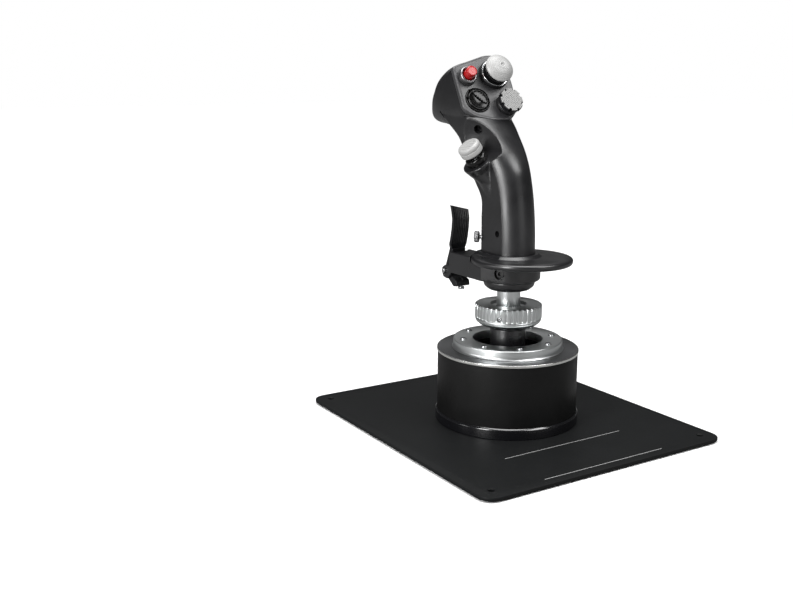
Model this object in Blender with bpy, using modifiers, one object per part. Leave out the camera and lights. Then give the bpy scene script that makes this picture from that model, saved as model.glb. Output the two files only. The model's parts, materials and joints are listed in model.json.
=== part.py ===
"""Desk flight joystick: a steel base plate, a round base with a two-axis gimbal,
a fluted lock nut and a removable grip with four hats, buttons, trigger and paddle.

X is the pilot's right, +Y is forward (away from the pilot), +Z is up.
The origin is at the bottom centre of the base plate, under the gimbal centre.
"""
import math

import bmesh
import bpy
import numpy as np
from mathutils import Matrix, Vector

MM = 0.001
GAP = 0.0003

# base plate and its feet
PLATE_W = 0.240
PLATE_L = 0.270
PLATE_R = 0.014
PLATE_BOTTOM = 0.0010
PLATE_TOP = 0.0040
FOOT_R = 0.009
FOOT_X = 0.098
FOOT_Y = 0.112

# round base
HOUSING_R = 0.0594
HOUSING_WALL = 0.0030
BAND_R = 0.0610
BAND_TOP = 0.0134
FLANGE_R = 0.0600
FLANGE_BOTTOM = 0.0643
FLANGE_TOP = 0.0665
RING_R = 0.0463
RING_TOP = 0.0745
OPENING_R = 0.0295
RING_SCREW_R = 0.0385
RING_SCREWS = 8

# gimbal and stick shaft
PIVOT = Vector((0.0, 0.0, 0.0420))
HUB_R = 0.0125
BOSS_R = 0.0150
BOSS_TOP = 0.0840
STEM_R = 0.0098

# lock nut
NUT_R = 0.0283
NUT_TOP = 0.1045
NUT_BOTTOM = 0.0870
NUT_FLUTES = 40
NUT_BORE_R = STEM_R + 0.0006
GRUB_ANGLE = math.radians(-143.0)

# grip foot
COLLAR_R = 0.0215
COLLAR_BOTTOM = 0.1172
COLLAR_TOP = 0.1250
FOOTING_R = 0.0260
FOOTING_HOLE_DEG = -147.5
FOOTING_BOTTOM = 0.1253
FOOTING_TOP = 0.1394
REST_R = 0.0425
REST_CENTRE = Vector((0.0050, -0.0100, 0.0))
REST_BOTTOM = 0.1397
REST_TOP = 0.1456

# paddle arm and paddle
ARM_LEFT = -0.0270
ARM_RIGHT = -0.0050
ARM_FRONT = 0.0462
CHEEK_FRONT = 0.0498
FACET = ((-0.0196, -0.0170), (-0.0270, 0.0038))
ARM_BOTTOM = 0.1245
ARM_TOP = 0.1436
PADDLE_PIN = Vector((-0.0160, 0.0559, 0.1256))
PADDLE_TOP = 0.1850

# grip handle
HANDLE_BOTTOM = 0.1459
WALL = 0.0032
SPLIT = 0.00015

# head: the face plane that carries the thumb controls
FACE_POINT = Vector((0.0, 0.0420, 0.2850))
FACE_ELEVATION = math.radians(30.0)
FACE_YAW = math.radians(6.0)
PLATE_THICK = 0.0040

# side hat on its shelf
SIDE_BASE = Vector((-0.0200, 0.0200, 0.2230))
SIDE_AXIS = Vector((-0.61, 0.0, 0.79)).normalized()

SCOOP_CENTRE = Vector((-0.0440, 0.0120, 0.2370))
SCOOP_R = 0.0360

# trigger and mode button
TRIGGER_PIN = Vector((0.0, 0.0630, 0.2500))
MODE_ROOT = Vector((-0.0128, 0.0196, 0.1592))
MODE_AXIS = Vector((-0.7071, 0.7071, 0.0)).normalized()

COLOURS = {
    "black_steel": ((0.018, 0.018, 0.019, 1.0), 0.0, 0.42),
    "black_metal": ((0.012, 0.012, 0.013, 1.0), 0.6, 0.36),
    "grip_metal": ((0.022, 0.022, 0.023, 1.0), 0.2, 0.48),
    "black_plastic": ((0.010, 0.010, 0.011, 1.0), 0.0, 0.45),
    "gloss_black": ((0.006, 0.006, 0.006, 1.0), 0.0, 0.12),
    "rubber_black": ((0.015, 0.015, 0.015, 1.0), 0.0, 0.80),
    "brushed_silver": ((0.56, 0.57, 0.57, 1.0), 1.0, 0.30),
    "steel_screw": ((0.45, 0.46, 0.47, 1.0), 1.0, 0.26),
    "chrome_trim": ((0.75, 0.76, 0.77, 1.0), 1.0, 0.10),
    "white_plastic": ((0.72, 0.72, 0.71, 1.0), 0.0, 0.38),
    "grey_plastic": ((0.50, 0.50, 0.50, 1.0), 0.0, 0.45),
    "red_plastic": ((0.58, 0.02, 0.02, 1.0), 0.0, 0.32),
    "spring_steel": ((0.40, 0.41, 0.42, 1.0), 1.0, 0.30),
    "board_green": ((0.02, 0.10, 0.04, 1.0), 0.0, 0.50),
}


# ---------------------------------------------------------------- helpers

def clear_scene():
    """Start from an empty file."""
    for obj in list(bpy.data.objects):
        bpy.data.objects.remove(obj, do_unlink=True)


def collection(name):
    """A new collection linked to the scene."""
    group = bpy.data.collections.new(name)
    bpy.context.scene.collection.children.link(group)
    return group


def material(slot):
    """The Principled material of a slot, made once."""
    found = bpy.data.materials.get(slot)
    if found:
        return found
    colour, metal, rough = COLOURS[slot]
    made = bpy.data.materials.new(slot)
    made.use_nodes = True
    shader = made.node_tree.nodes["Principled BSDF"]
    shader.inputs["Base Color"].default_value = colour
    shader.inputs["Metallic"].default_value = metal
    shader.inputs["Roughness"].default_value = rough
    return made


def make(name, mesh, slot=None, matrix=None, smooth=35.0):
    """Link a mesh as a part (with a slot) or as a hidden cutter (without)."""
    obj = bpy.data.objects.new(name, mesh)
    if slot:
        PARTS.objects.link(obj)
        mesh.materials.append(material(slot))
    else:
        CUTTERS.objects.link(obj)
        obj.hide_render = True
        obj.display_type = "WIRE"
    if matrix is not None:
        obj.matrix_world = matrix
    if smooth and mesh.polygons:
        mesh.shade_smooth()
        mesh.set_sharp_from_angle(angle=math.radians(smooth))
    return obj


def lathe(name, profile, slot=None, matrix=None, steps=32, closed=False, smooth=True):
    """Turn a profile of (radius, height) pairs in metres about local Z."""
    mesh = bpy.data.meshes.new(name)
    points = [(r, 0.0, z) for r, z in profile]
    edges = [(i, i + 1) for i in range(len(points) - 1)]
    if closed:
        edges.append((len(points) - 1, 0))
    mesh.from_pydata(points, edges, [])
    obj = make(name, mesh, slot, matrix, smooth=None)
    screw = obj.modifiers.new("turn", "SCREW")
    screw.axis = "Z"
    screw.steps = steps
    screw.render_steps = steps
    screw.use_merge_vertices = True
    screw.merge_threshold = 0.00001
    screw.use_smooth_shade = smooth
    return obj


def rod(name, radius, low, high, slot=None, matrix=None, steps=24, chamfer=0.0):
    """A solid cylinder along local Z from low to high, with chamfered ends."""
    c = chamfer
    if c:
        profile = [(0, high), (radius - c, high), (radius, high - c),
                   (radius, low + c), (radius - c, low), (0, low)]
    else:
        profile = [(0, high), (radius, high), (radius, low), (0, low)]
    return lathe(name, profile, slot, matrix, steps, smooth=False)


def tube(name, inner, outer, low, high, slot=None, matrix=None, steps=32, chamfer=0.0):
    """A hollow cylinder along local Z."""
    c = chamfer
    profile = [(outer - c, high), (outer, high - c), (outer, low + c), (outer - c, low),
               (inner, low), (inner, high)]
    if not c:
        profile = [(outer, high), (outer, low), (inner, low), (inner, high)]
    return lathe(name, profile, slot, matrix, steps, closed=True, smooth=False)


def block(name, low, high, slot=None, matrix=None, bevel=0.0, segments=2):
    """A box between two corners, with rounded edges."""
    low = Vector(low)
    high = Vector(high)
    form = bmesh.new()
    bmesh.ops.create_cube(form, size=1.0)
    size = high - low
    for v in form.verts:
        v.co = Vector((v.co.x * size.x, v.co.y * size.y, v.co.z * size.z)) + (low + high) / 2
    mesh = bpy.data.meshes.new(name)
    form.to_mesh(mesh)
    form.free()
    obj = make(name, mesh, slot, matrix)
    if bevel:
        edge = obj.modifiers.new("edge", "BEVEL")
        edge.width = bevel
        edge.segments = segments
    return obj


def prism(name, outline, low, high, slot=None, matrix=None, smooth=35.0):
    """A closed outline of (x, y) points, extruded along local Z."""
    sections = [[(x, y, low) for x, y in outline], [(x, y, high) for x, y in outline]]
    return loft(name, sections, slot, matrix, smooth)


def loft(name, sections, slot=None, matrix=None, smooth=35.0):
    """A closed skin through sections of equal point counts, capped at both ends."""
    count = len(sections[0])
    form = bmesh.new()
    rows = [[form.verts.new(p) for p in section] for section in sections]
    for low, high in zip(rows[:-1], rows[1:]):
        for i in range(count):
            j = (i + 1) % count
            form.faces.new((low[i], low[j], high[j], high[i]))
    form.faces.new(list(reversed(rows[0])))
    form.faces.new(rows[-1])
    bmesh.ops.triangulate(form, faces=form.faces)
    bmesh.ops.recalc_face_normals(form, faces=form.faces)
    mesh = bpy.data.meshes.new(name)
    form.to_mesh(mesh)
    form.free()
    return make(name, mesh, slot, matrix, smooth)


def boolean(obj, other, operation):
    """Cut, join or trim an object with a hidden one."""
    step = obj.modifiers.new(operation.lower(), "BOOLEAN")
    step.operation = operation
    step.solver = "EXACT"
    step.object = other
    return obj


def cut(obj, *others):
    """Take hidden solids away."""
    for other in others:
        boolean(obj, other, "DIFFERENCE")
    return obj


def join(obj, *others):
    """Add hidden solids."""
    for other in others:
        boolean(obj, other, "UNION")
    return obj


def frame_at(origin, axis, side=Vector((1.0, 0.0, 0.0))):
    """A matrix whose local Z is the axis and whose local X leans to the side given."""
    z = Vector(axis).normalized()
    x = (Vector(side) - z * z.dot(Vector(side))).normalized()
    y = z.cross(x)
    turned = Matrix((x, y, z)).transposed().to_4x4()
    turned.translation = Vector(origin)
    return turned


def at(x, y, z):
    """A plain move."""
    return Matrix.Translation((x, y, z))


def rounded(corners, radii, segments=4):
    """Round the corners of a convex outline."""
    out = []
    count = len(corners)
    for i in range(count):
        here = np.array(corners[i], float)
        back = np.array(corners[i - 1], float) - here
        ahead = np.array(corners[(i + 1) % count], float) - here
        radius = radii[i]
        if radius <= 0:
            out.append(tuple(here))
            continue
        for k in range(segments + 1):
            t = k / segments
            a = here + back / np.linalg.norm(back) * radius
            b = here + ahead / np.linalg.norm(ahead) * radius
            p = (1 - t) ** 2 * a + 2 * t * (1 - t) * here + t ** 2 * b
            out.append(tuple(p))
    return out


def polar(outline, centre, count):
    """Resample a convex outline at even angles about a centre."""
    pts = np.array(outline, float)
    c = np.array(centre, float)
    out = []
    for k in range(count):
        a = 2 * math.pi * k / count
        d = np.array((math.cos(a), math.sin(a)))
        best = 0.0
        for i in range(len(pts)):
            p = pts[i] - c
            e = pts[(i + 1) % len(pts)] - pts[i]
            det = d[0] * -e[1] + e[0] * d[1]
            if abs(det) < 1e-12:
                continue
            t = (p[0] * -e[1] + e[0] * p[1]) / det
            s = (d[0] * p[1] - d[1] * p[0]) / det
            if -1e-9 <= s <= 1 + 1e-9 and t > best:
                best = t
        out.append(tuple(c + d * best))
    return out


# ---------------------------------------------------------------- base

def build_base_plate():
    """The steel plate and its four rubber feet."""
    w, l = PLATE_W / 2, PLATE_L / 2
    corners = [(-w, -l), (w, -l), (w, l), (-w, l)]
    outline = rounded(corners, [PLATE_R] * 4, 5)
    plate = prism("base_plate", outline, PLATE_BOTTOM, PLATE_TOP, "black_steel")
    for i, (sx, sy) in enumerate(((-1, -1), (1, -1), (1, 1), (-1, 1))):
        x, y = sx * (w - 0.0135), sy * (l - 0.0135)
        cut(plate, rod(f"plate_hole_{i}", 0.0026, -0.001, 0.006, matrix=at(x, y, 0), steps=12))
        seat = at(sx * FOOT_X, sy * FOOT_Y, 0)
        name = ("front_left", "front_right", "back_right", "back_left")[i]
        rod(f"foot_{name}", FOOT_R, 0.0, PLATE_BOTTOM - GAP / 3, "rubber_black", seat, 16)


def build_housing():
    """Foot band, turned cylinder, flange and the screwed top ring."""
    low = PLATE_TOP + GAP
    lathe("base_band", [(HOUSING_R + GAP, BAND_TOP), (BAND_R - 0.0008, BAND_TOP),
                        (BAND_R, BAND_TOP - 0.0008), (BAND_R, low), (HOUSING_R + GAP, low)],
          "black_metal", None, 48, closed=True, smooth=False)
    inner = HOUSING_R - HOUSING_WALL
    housing = lathe("base_housing", [(HOUSING_R, FLANGE_BOTTOM - GAP), (HOUSING_R, low),
                                     (inner - 0.004, low), (inner - 0.004, low + 0.003),
                                     (inner, low + 0.003), (inner, FLANGE_BOTTOM - GAP)],
                    "black_metal", None, 48, closed=True, smooth=False)
    bore = frame_at((0.0, HOUSING_R, 0.0230), (0, 1, 0))
    cut(housing, rod("gland_bore", 0.0051, -0.012, 0.006, None, bore, 20))
    lathe("cable_gland", [(0, 0.0060), (0.0030, 0.0060), (0.0044, 0.0046), (0.0044, 0.0020),
                          (0.0078, 0.0020), (0.0078, 0.0006), (0.0048, 0.0006),
                          (0.0048, -0.0060), (0, -0.0060)],
          "rubber_black", bore, 12, smooth=False)
    lathe("base_flange", [(FLANGE_R - 0.0004, FLANGE_TOP), (FLANGE_R, FLANGE_TOP - 0.0004),
                          (FLANGE_R, FLANGE_BOTTOM), (0.0312, FLANGE_BOTTOM),
                          (0.0312, FLANGE_TOP)],
          "black_metal", None, 48, closed=True, smooth=False)
    ring = lathe("top_ring", [(RING_R - 0.0016, RING_TOP), (RING_R, RING_TOP - 0.0014),
                              (RING_R, FLANGE_TOP + 0.0014), (RING_R + 0.0010, FLANGE_TOP + GAP),
                              (OPENING_R, FLANGE_TOP + GAP), (OPENING_R, RING_TOP)],
                 "brushed_silver", None, 48, closed=True, smooth=False)
    for i in range(RING_SCREWS):
        a = math.radians(22.5 + 360.0 * i / RING_SCREWS)
        seat = at(RING_SCREW_R * math.cos(a), RING_SCREW_R * math.sin(a), 0)
        bore = rod(f"ring_bore_{i}", 0.0029, RING_TOP - 0.0045, RING_TOP + 0.001, None, seat, 12)
        cut(ring, bore)
        rod(f"ring_screw_{i + 1}", 0.0025, RING_TOP - 0.0042, RING_TOP + 0.0010, "steel_screw", seat, 12)


def build_gimbal():
    """The fixed cradle, the pitch ring and the stick's hub with its lower parts."""
    px, py, pz = PIVOT
    # fixed cradle: a floor ring with two uprights that carry the pitch bearings
    low = PLATE_TOP + GAP
    cradle = lathe("gimbal_cradle", [(0.0440, low + 0.003), (0.0440, low),
                                     (0.0300, low), (0.0300, low + 0.003)],
                   "black_metal", None, 36, closed=True, smooth=False)
    for side in (-1, 1):
        x0, x1 = sorted((side * 0.0345, side * 0.0400))
        post = block(f"cradle_post_{side}", (x0, -0.0080, low + 0.001), (x1, 0.0080, pz + 0.0085))
        join(cradle, post)
    across = frame_at((0, 0, pz), (1, 0, 0), (0, 1, 0))
    cut(cradle, rod("pitch_bore", 0.0045, -0.045, 0.045, None, across, 16))
    # pitch ring with trunnions along X and bores along Y
    ring = lathe("gimbal_ring", [(0.0270, 0.0060), (0.0280, 0.0050), (0.0280, -0.0050),
                                 (0.0270, -0.0060), (0.0215, -0.0060), (0.0215, 0.0060)],
                 "brushed_silver", at(px, py, pz), 32, closed=True, smooth=False)
    for side in (-1, 1):
        lo, hi = sorted((side * 0.0250, side * 0.0395))
        join(ring, rod(f"pitch_trunnion_{side}", 0.0040, lo, hi, None, across, 16))
    along = frame_at((0, 0, pz), (0, 1, 0))
    cut(ring, rod("roll_bore", 0.0045, -0.035, 0.035, None, along, 16))
    # stick hub: a black boss through the opening, trunnions along Y, a tail rod below
    hub = lathe("stick_hub", [(0, BOSS_TOP - pz), (BOSS_R - 0.001, BOSS_TOP - pz),
                              (BOSS_R, BOSS_TOP - pz - 0.001), (BOSS_R, 0.020),
                              (0.0120, 0.015), (0.0120, -0.008), (0.0040, -0.0082),
                              (0.0040, -0.0250), (0.0104, -0.0250), (0.0110, -0.0256),
                              (0.0110, -0.0274), (0.0104, -0.0280), (0.0048, -0.0280),
                              (0.0048, -0.0335), (0, -0.0335)],
                "black_metal", at(px, py, pz), 24, smooth=False)
    for side in (-1, 1):
        lo, hi = sorted((side * 0.0080, side * 0.0262))
        join(hub, rod(f"roll_trunnion_{side}", 0.0040, lo, hi, None, along, 16))
    # centring spring around the tail rod
    turns, radius, wire = 3.5, 0.0085, 0.0010
    top, bottom = pz - 0.0096, pz - 0.0235
    curve = bpy.data.curves.new("centring_spring", "CURVE")
    curve.dimensions = "3D"
    curve.bevel_depth = wire
    curve.bevel_resolution = 2
    curve.use_fill_caps = True
    line = curve.splines.new("POLY")
    count = int(turns * 12) + 1
    line.points.add(count - 1)
    for i in range(count):
        a = 2 * math.pi * i / 12
        z = top + (bottom - top) * i / (count - 1)
        line.points[i].co = (radius * math.cos(a), radius * math.sin(a), z - pz, 1.0)
    spring = bpy.data.objects.new("centring_spring", curve)
    curve.materials.append(material("spring_steel"))
    PARTS.objects.link(spring)
    spring.matrix_world = at(px, py, pz)
    block("sensor_board", (-0.0170, -0.0140, low), (0.0170, 0.0140, low + 0.0016), "board_green")


def build_nut():
    """The fluted lock nut and its grub screw."""
    z0 = (NUT_TOP + NUT_BOTTOM) / 2
    middle = at(0, 0, z0)
    top, low = NUT_TOP - z0, NUT_BOTTOM - z0
    rows = []
    for z, r, depth in ((low, NUT_R - 0.0044, 0.0), (low + 0.0034, NUT_R - 0.0006, 0.0),
                        (low + 0.0060, NUT_R - 0.0009, 0.0), (low + 0.0068, NUT_R, 0.0008),
                        (top, NUT_R, 0.0008)):
        row = []
        for i in range(NUT_FLUTES * 2):
            a = math.pi * i / NUT_FLUTES
            reach = r - depth * (i % 2)
            row.append((reach * math.cos(a), reach * math.sin(a), z))
        rows.append(row)
    nut = loft("lock_nut", rows, "brushed_silver", middle)
    cut(nut, rod("nut_bore", NUT_BORE_R, -0.03, 0.03, None, middle, 32),
        rod("nut_skirt", 0.0168, low - 0.01, low + 0.0050, None, middle, 32),
        rod("nut_recess", 0.0142, top - 0.0024, top + 0.01, None, middle, 32))
    d = Vector((math.cos(GRUB_ANGLE), math.sin(GRUB_ANGLE), 0))
    bore = frame_at((NUT_R * d.x, NUT_R * d.y, z0 + 0.0004), d)
    cut(nut, rod("grub_bore", 0.0019, -0.0130, 0.003, None, bore, 12))
    rod("nut_grub_screw", 0.0015, -0.0120, -0.0012, "steel_screw", bore, 12)


def build_grip_foot():
    """Stem, collar, footing with the paddle arm, and the hand rest."""
    tube("grip_stem", 0.0060, STEM_R, BOSS_TOP + GAP, 0.1320, "brushed_silver", None, 32)
    lathe("grip_collar", [(COLLAR_R, COLLAR_TOP), (COLLAR_R + 0.0003, COLLAR_TOP - 0.0010),
                          (COLLAR_R - 0.0006, COLLAR_BOTTOM + 0.0028),
                          (COLLAR_R - 0.0040, COLLAR_BOTTOM), (STEM_R + GAP, COLLAR_BOTTOM),
                          (STEM_R + GAP, COLLAR_TOP)],
          "black_metal", None, 32, closed=True, smooth=False)
    footing = lathe("grip_footing", [(0, FOOTING_TOP), (FOOTING_R, FOOTING_TOP),
                                     (FOOTING_R, FOOTING_BOTTOM + 0.0012),
                                     (FOOTING_R - 0.0014, FOOTING_BOTTOM), (0, FOOTING_BOTTOM)],
                    "black_metal", None, 32, smooth=False)
    outline = [FACET[0], (-0.0050, -0.0170), (ARM_RIGHT, ARM_FRONT), (ARM_LEFT, ARM_FRONT), FACET[1]]
    join(footing, prism("arm_low", outline, FOOTING_BOTTOM, FOOTING_TOP))
    lip = block("arm_lip", (ARM_LEFT, 0.0120, FOOTING_TOP - 0.004), (ARM_RIGHT, ARM_FRONT, ARM_TOP))
    cut(lip, rod("rest_clear", REST_R + 0.0005, FOOTING_TOP, 0.150, None,
                 at(REST_CENTRE.x, REST_CENTRE.y, 0), 48))
    join(footing, lip)
    pin = PADDLE_PIN
    for name, x0, x1 in (("near", ARM_LEFT, ARM_LEFT + 0.0030), ("far", ARM_RIGHT - 0.0030, ARM_RIGHT)):
        side = [(ARM_FRONT - 0.003, 0.1290), (pin.y - 0.0030, pin.z - 0.0066), (pin.y + 0.0026, pin.z - 0.0058),
                (pin.y + 0.0050, pin.z - 0.0020), (pin.y + 0.0048, pin.z + 0.0026),
                (pin.y + 0.0010, pin.z + 0.0050), (CHEEK_FRONT, pin.z + 0.0060),
                (CHEEK_FRONT, ARM_TOP), (ARM_FRONT - 0.003, ARM_TOP)]
        turned = Matrix(((0, 0, 1, 0), (1, 0, 0, 0), (0, 1, 0, 0), (0, 0, 0, 1)))
        join(footing, prism(f"cheek_{name}", side, x0, x1, None, turned))
    across = frame_at(pin, (1, 0, 0), (0, 1, 0))
    beyond = [FACET[0], FACET[1], (-0.0458, -0.0029), (-0.0384, -0.0237)]
    cut(footing, prism("facet", beyond, FOOTING_BOTTOM - 0.001, FOOTING_TOP + 0.001),
        rod("paddle_bore", 0.0024, -0.030, 0.030, None, across, 12),
        rod("stem_bore", STEM_R + GAP, 0.120, 0.1325, None, None, 32))
    a = math.radians(FOOTING_HOLE_DEG)
    d = Vector((math.cos(a), math.sin(a), 0))
    hole = frame_at((FOOTING_R * d.x, FOOTING_R * d.y, 0.1332), d)
    cut(footing, rod("side_hole", 0.0046, -0.0080, 0.006, None, hole, 16))
    rod("footing_screw", 0.0036, -0.0076, -0.0036, "steel_screw", hole, 16)
    c = REST_CENTRE
    rest = lathe("hand_rest", [(0, REST_TOP), (REST_R - 0.0034, REST_TOP),
                               (REST_R - 0.0010, REST_TOP - 0.0010), (REST_R, REST_TOP - 0.0028),
                               (REST_R - 0.0008, REST_BOTTOM + 0.0012),
                               (REST_R - 0.0030, REST_BOTTOM), (0, REST_BOTTOM)],
                 "black_metal", at(c.x, c.y, 0), 48, smooth=False)
    join(rest, rod("rest_step", 0.0262, REST_TOP - 0.002, REST_TOP + 0.0022, None, at(0, 0.0015, 0), 32))
    cut(rest, rod("wire_bore", 0.0050, 0.130, 0.155, None, None, 12))
    core = handle_loft("handle_foot_clear", -0.0004, REST_TOP + 0.0003, 0.160)
    cut(rest, core)


def build_paddle():
    """The pull paddle, its pin and its stop screw."""
    pin = PADDLE_PIN
    heights = [0.1400, 0.1448, 0.1490, 0.1560, 0.1640, 0.1720, 0.1780, 0.1820, PADDLE_TOP]
    backs = [0.0512, 0.0512, 0.0505, 0.0487, 0.0472, 0.0467, 0.0480, 0.0494, 0.0508]
    widths = [0.0064, 0.0066, 0.0082, 0.0081, 0.0080, 0.0080, 0.0080, 0.0080, 0.0080]
    rows = []
    for z, y, w in zip(heights, backs, widths):
        x0, x1 = -w, w
        thick = 0.0028
        rows.append([(x0, y - pin.y - 0.0006, z - pin.z), (0, y - pin.y + 0.0004, z - pin.z),
                     (x1, y - pin.y - 0.0006, z - pin.z), (x1, y + thick - pin.y, z - pin.z),
                     (0, y + thick + 0.0008 - pin.y, z - pin.z), (x0, y + thick - pin.y, z - pin.z)])
    here = at(pin.x - 0.0008, pin.y, pin.z)
    paddle = loft("paddle", rows, "black_plastic", here)
    outline = [(-0.0062, 0.0200), (-0.0055, 0.0060), (-0.0045, -0.0040), (-0.0125, -0.0074),
               (-0.0133, -0.0122), (-0.0080, -0.0130), (0.0010, -0.0062), (0.0042, -0.0030),
               (0.0042, 0.0040), (-0.0020, 0.0205)]
    turned = Matrix(((0, 0, 1, 0), (1, 0, 0, 0), (0, 1, 0, 0), (0, 0, 0, 1)))
    join(paddle, prism("paddle_web", outline, -0.0070, 0.0072, None, here @ turned))
    across = frame_at(pin, (1, 0, 0), (0, 1, 0))
    slope = [(-0.0320, 0.1851), (0.0, 0.1771), (0.0, 0.1900), (-0.0320, 0.1900)]
    cut(paddle, rod("paddle_eye", 0.0024, -0.030, 0.030, None, across, 12),
        prism("paddle_slope", slope, -0.080, -0.030, None, frame_at((0, 0, 0), (0, -1, 0), (1, 0, 0))))
    rod("paddle_pin", 0.0020, -0.0134, 0.0130, "steel_screw", across, 12)
    upright = at(pin.x - 0.0008, pin.y - 0.0104, pin.z - 0.0098)
    cut(paddle, rod("stop_bore", 0.0017, -0.006, 0.006, None, upright, 12))
    lathe("paddle_stop_screw", [(0, 0.0026), (0.0013, 0.0026), (0.0013, -0.0034), (0.0028, -0.0036),
                                (0.0028, -0.0056), (0, -0.0056)],
          "steel_screw", upright, 12, smooth=False)


# ---------------------------------------------------------------- grip

# height, centre Y, half width right, half width left, reach forward, reach back (mm)
HANDLE = (
    (145.9, 0.0, 20.9, 16.0, 23.0, 20.9),
    (160.0, 0.2, 20.9, 16.0, 22.8, 20.9),
    (175.0, 1.2, 20.9, 16.0, 21.9, 20.8),
    (192.0, 3.2, 20.8, 16.0, 20.4, 20.6),
    (204.0, 6.6, 21.0, 16.4, 26.0, 21.6),
    (217.0, 12.0, 21.5, 17.6, 33.0, 23.3),
    (230.0, 19.0, 23.0, 19.0, 33.0, 22.2),
    (241.0, 27.0, 24.6, 20.6, 30.0, 19.5),
    (250.0, 34.0, 25.6, 22.0, 36.0, 17.5),
    (259.0, 42.0, 26.0, 22.6, 40.0, 15.0),
)


# how far round the back-left quarter reaches before the flat flank cuts it, from 0 to 1
BACK_FULLNESS = 0.88


def handle_section(z, cy, right, left, front, back, inset=0.0):
    """One level outline of the handle: flat left flank, round back, fuller front."""
    right, left = right - inset, left - inset
    front, back = front - inset, back - inset
    ratio = min(left / right, 0.999)
    wide = left / BACK_FULLNESS
    out = []
    steps_front = [math.pi / 2 * k / 5 for k in range(6)]
    clip = math.acos(ratio ** 1.5)
    steps_front += [math.pi / 2 + (math.pi / 2 - clip) * k / 3 for k in (1, 2, 3)]
    for a in steps_front:
        c, s = math.cos(a), math.sin(a)
        out.append((right * math.copysign(abs(c) ** (2 / 3), c), cy + front * abs(s) ** (2 / 3)))
    y1 = out[-1][1]
    y2 = cy - back * math.sqrt(1 - BACK_FULLNESS * BACK_FULLNESS)
    out[-1] = (-left, y1)
    for k in (1, 2, 3):
        out.append((-left, y1 + (y2 - y1) * k / 3))
    start = math.acos(BACK_FULLNESS)
    for k in range(1, 5):
        a = start + (math.pi / 2 - start) * k / 4
        out.append((-wide * math.cos(a), cy - back * math.sin(a)))
    for k in range(1, 5):
        a = math.pi / 2 * k / 5
        out.append((right * math.sin(a), cy - back * math.cos(a)))
    return [(x * MM, y * MM, z * MM) for x, y in out]


def handle_values(z):
    """Handle measures in mm at a height in mm, by straight interpolation."""
    table = np.array(HANDLE)
    return [float(np.interp(z, table[:, 0], table[:, k])) for k in range(1, 6)]


def handle_loft(name, inset, low, high, grow=0.0):
    """The handle skin between two heights, inset (or grown, if inset is negative)."""
    levels = [row[0] for row in HANDLE if low / MM + 0.5 < row[0] < high / MM - 0.5]
    levels = [low / MM] + levels + [high / MM]
    rows = [handle_section(z, *handle_values(z), inset=inset / MM) for z in levels]
    return loft(name, rows)


def face_axes():
    """Right, up and outward directions of the face."""
    c, s = math.cos(FACE_ELEVATION), math.sin(FACE_ELEVATION)
    out = Vector((-math.sin(FACE_YAW) * c, -math.cos(FACE_YAW) * c, s))
    right = Vector((math.cos(FACE_YAW), -math.sin(FACE_YAW), 0.0))
    return right, out.cross(right), out


def on_face(u, v, h):
    """The matrix of a control on the face, u right, v up and h out, in metres."""
    right, up, out = face_axes()
    return frame_at(FACE_POINT + right * u + up * v + out * h, out, right)


FACE_CORNERS = [(27.6, -24.5), (29.2, 2.0), (25.5, 27.6), (9.0, 27.6), (-25.0, 16.6),
                (-24.6, -22.8), (-16.0, -30.0), (2.0, -34.2), (19.0, -33.4)]
FACE_RADII = [5.0, 6.0, 7.0, 4.0, 3.0, 5.0, 5.0, 6.0, 5.0]
FACE_CENTRE = (1.5, -2.5)

# head sections: Y, centre X, half width, top, bottom, slope of the top (mm)
HEAD = (
    (70.0, 1.5, 25.4, 303.0, 249.0, 0.24),
    (80.0, 1.6, 23.8, 297.0, 250.0, 0.22),
    (88.0, 2.0, 21.2, 288.0, 250.4, 0.18),
    (94.0, 2.2, 18.6, 281.0, 251.2, 0.14),
    (98.5, 2.5, 15.2, 275.0, 253.2, 0.08),
    (101.0, 2.5, 9.5, 270.0, 257.0, 0.0),
)
HEAD_POINTS = 28


def head_sections(inset, start):
    """Sections from a depth (mm) behind the face to the nose."""
    right, up, out = face_axes()
    centre = FACE_CENTRE
    ring = polar(rounded(FACE_CORNERS, FACE_RADII, 4), centre, HEAD_POINTS)
    rows = []
    for depth, extra in ((start, 0.0), (9.0, -0.2)):
        row = []
        for u, v in ring:
            length = math.hypot(u - centre[0], v - centre[1])
            k = (length - inset - extra) / length
            uu = centre[0] + (u - centre[0]) * k
            vv = centre[1] + (v - centre[1]) * k
            p = FACE_POINT + right * uu * MM + up * vv * MM - out * depth * MM
            row.append(tuple(p))
        rows.append(row)
    for y, cx, half, top, bottom, slope in HEAD:
        half, top, bottom = half - inset, top - inset, bottom + inset
        mid, tall = (top + bottom) / 2, (top - bottom) / 2
        if half < 1.0 or tall < 1.0:
            continue
        row = []
        for k in range(HEAD_POINTS):
            a = 2 * math.pi * k / HEAD_POINTS
            c, s = math.cos(a), math.sin(a)
            power = (abs(c) ** 3.2 + abs(s) ** 3.2) ** (-1 / 3.2)
            x = half * c * power
            z = mid + tall * s * power + slope * x * max(0.0, s * power)
            row.append(((cx + x) * MM, (y - inset) * MM, z * MM))
        rows.append(row)
    return rows


def side_axes():
    """The frame of the side hat, at its shelf."""
    return frame_at(SIDE_BASE, SIDE_AXIS, (0, 1, 0))


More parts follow.
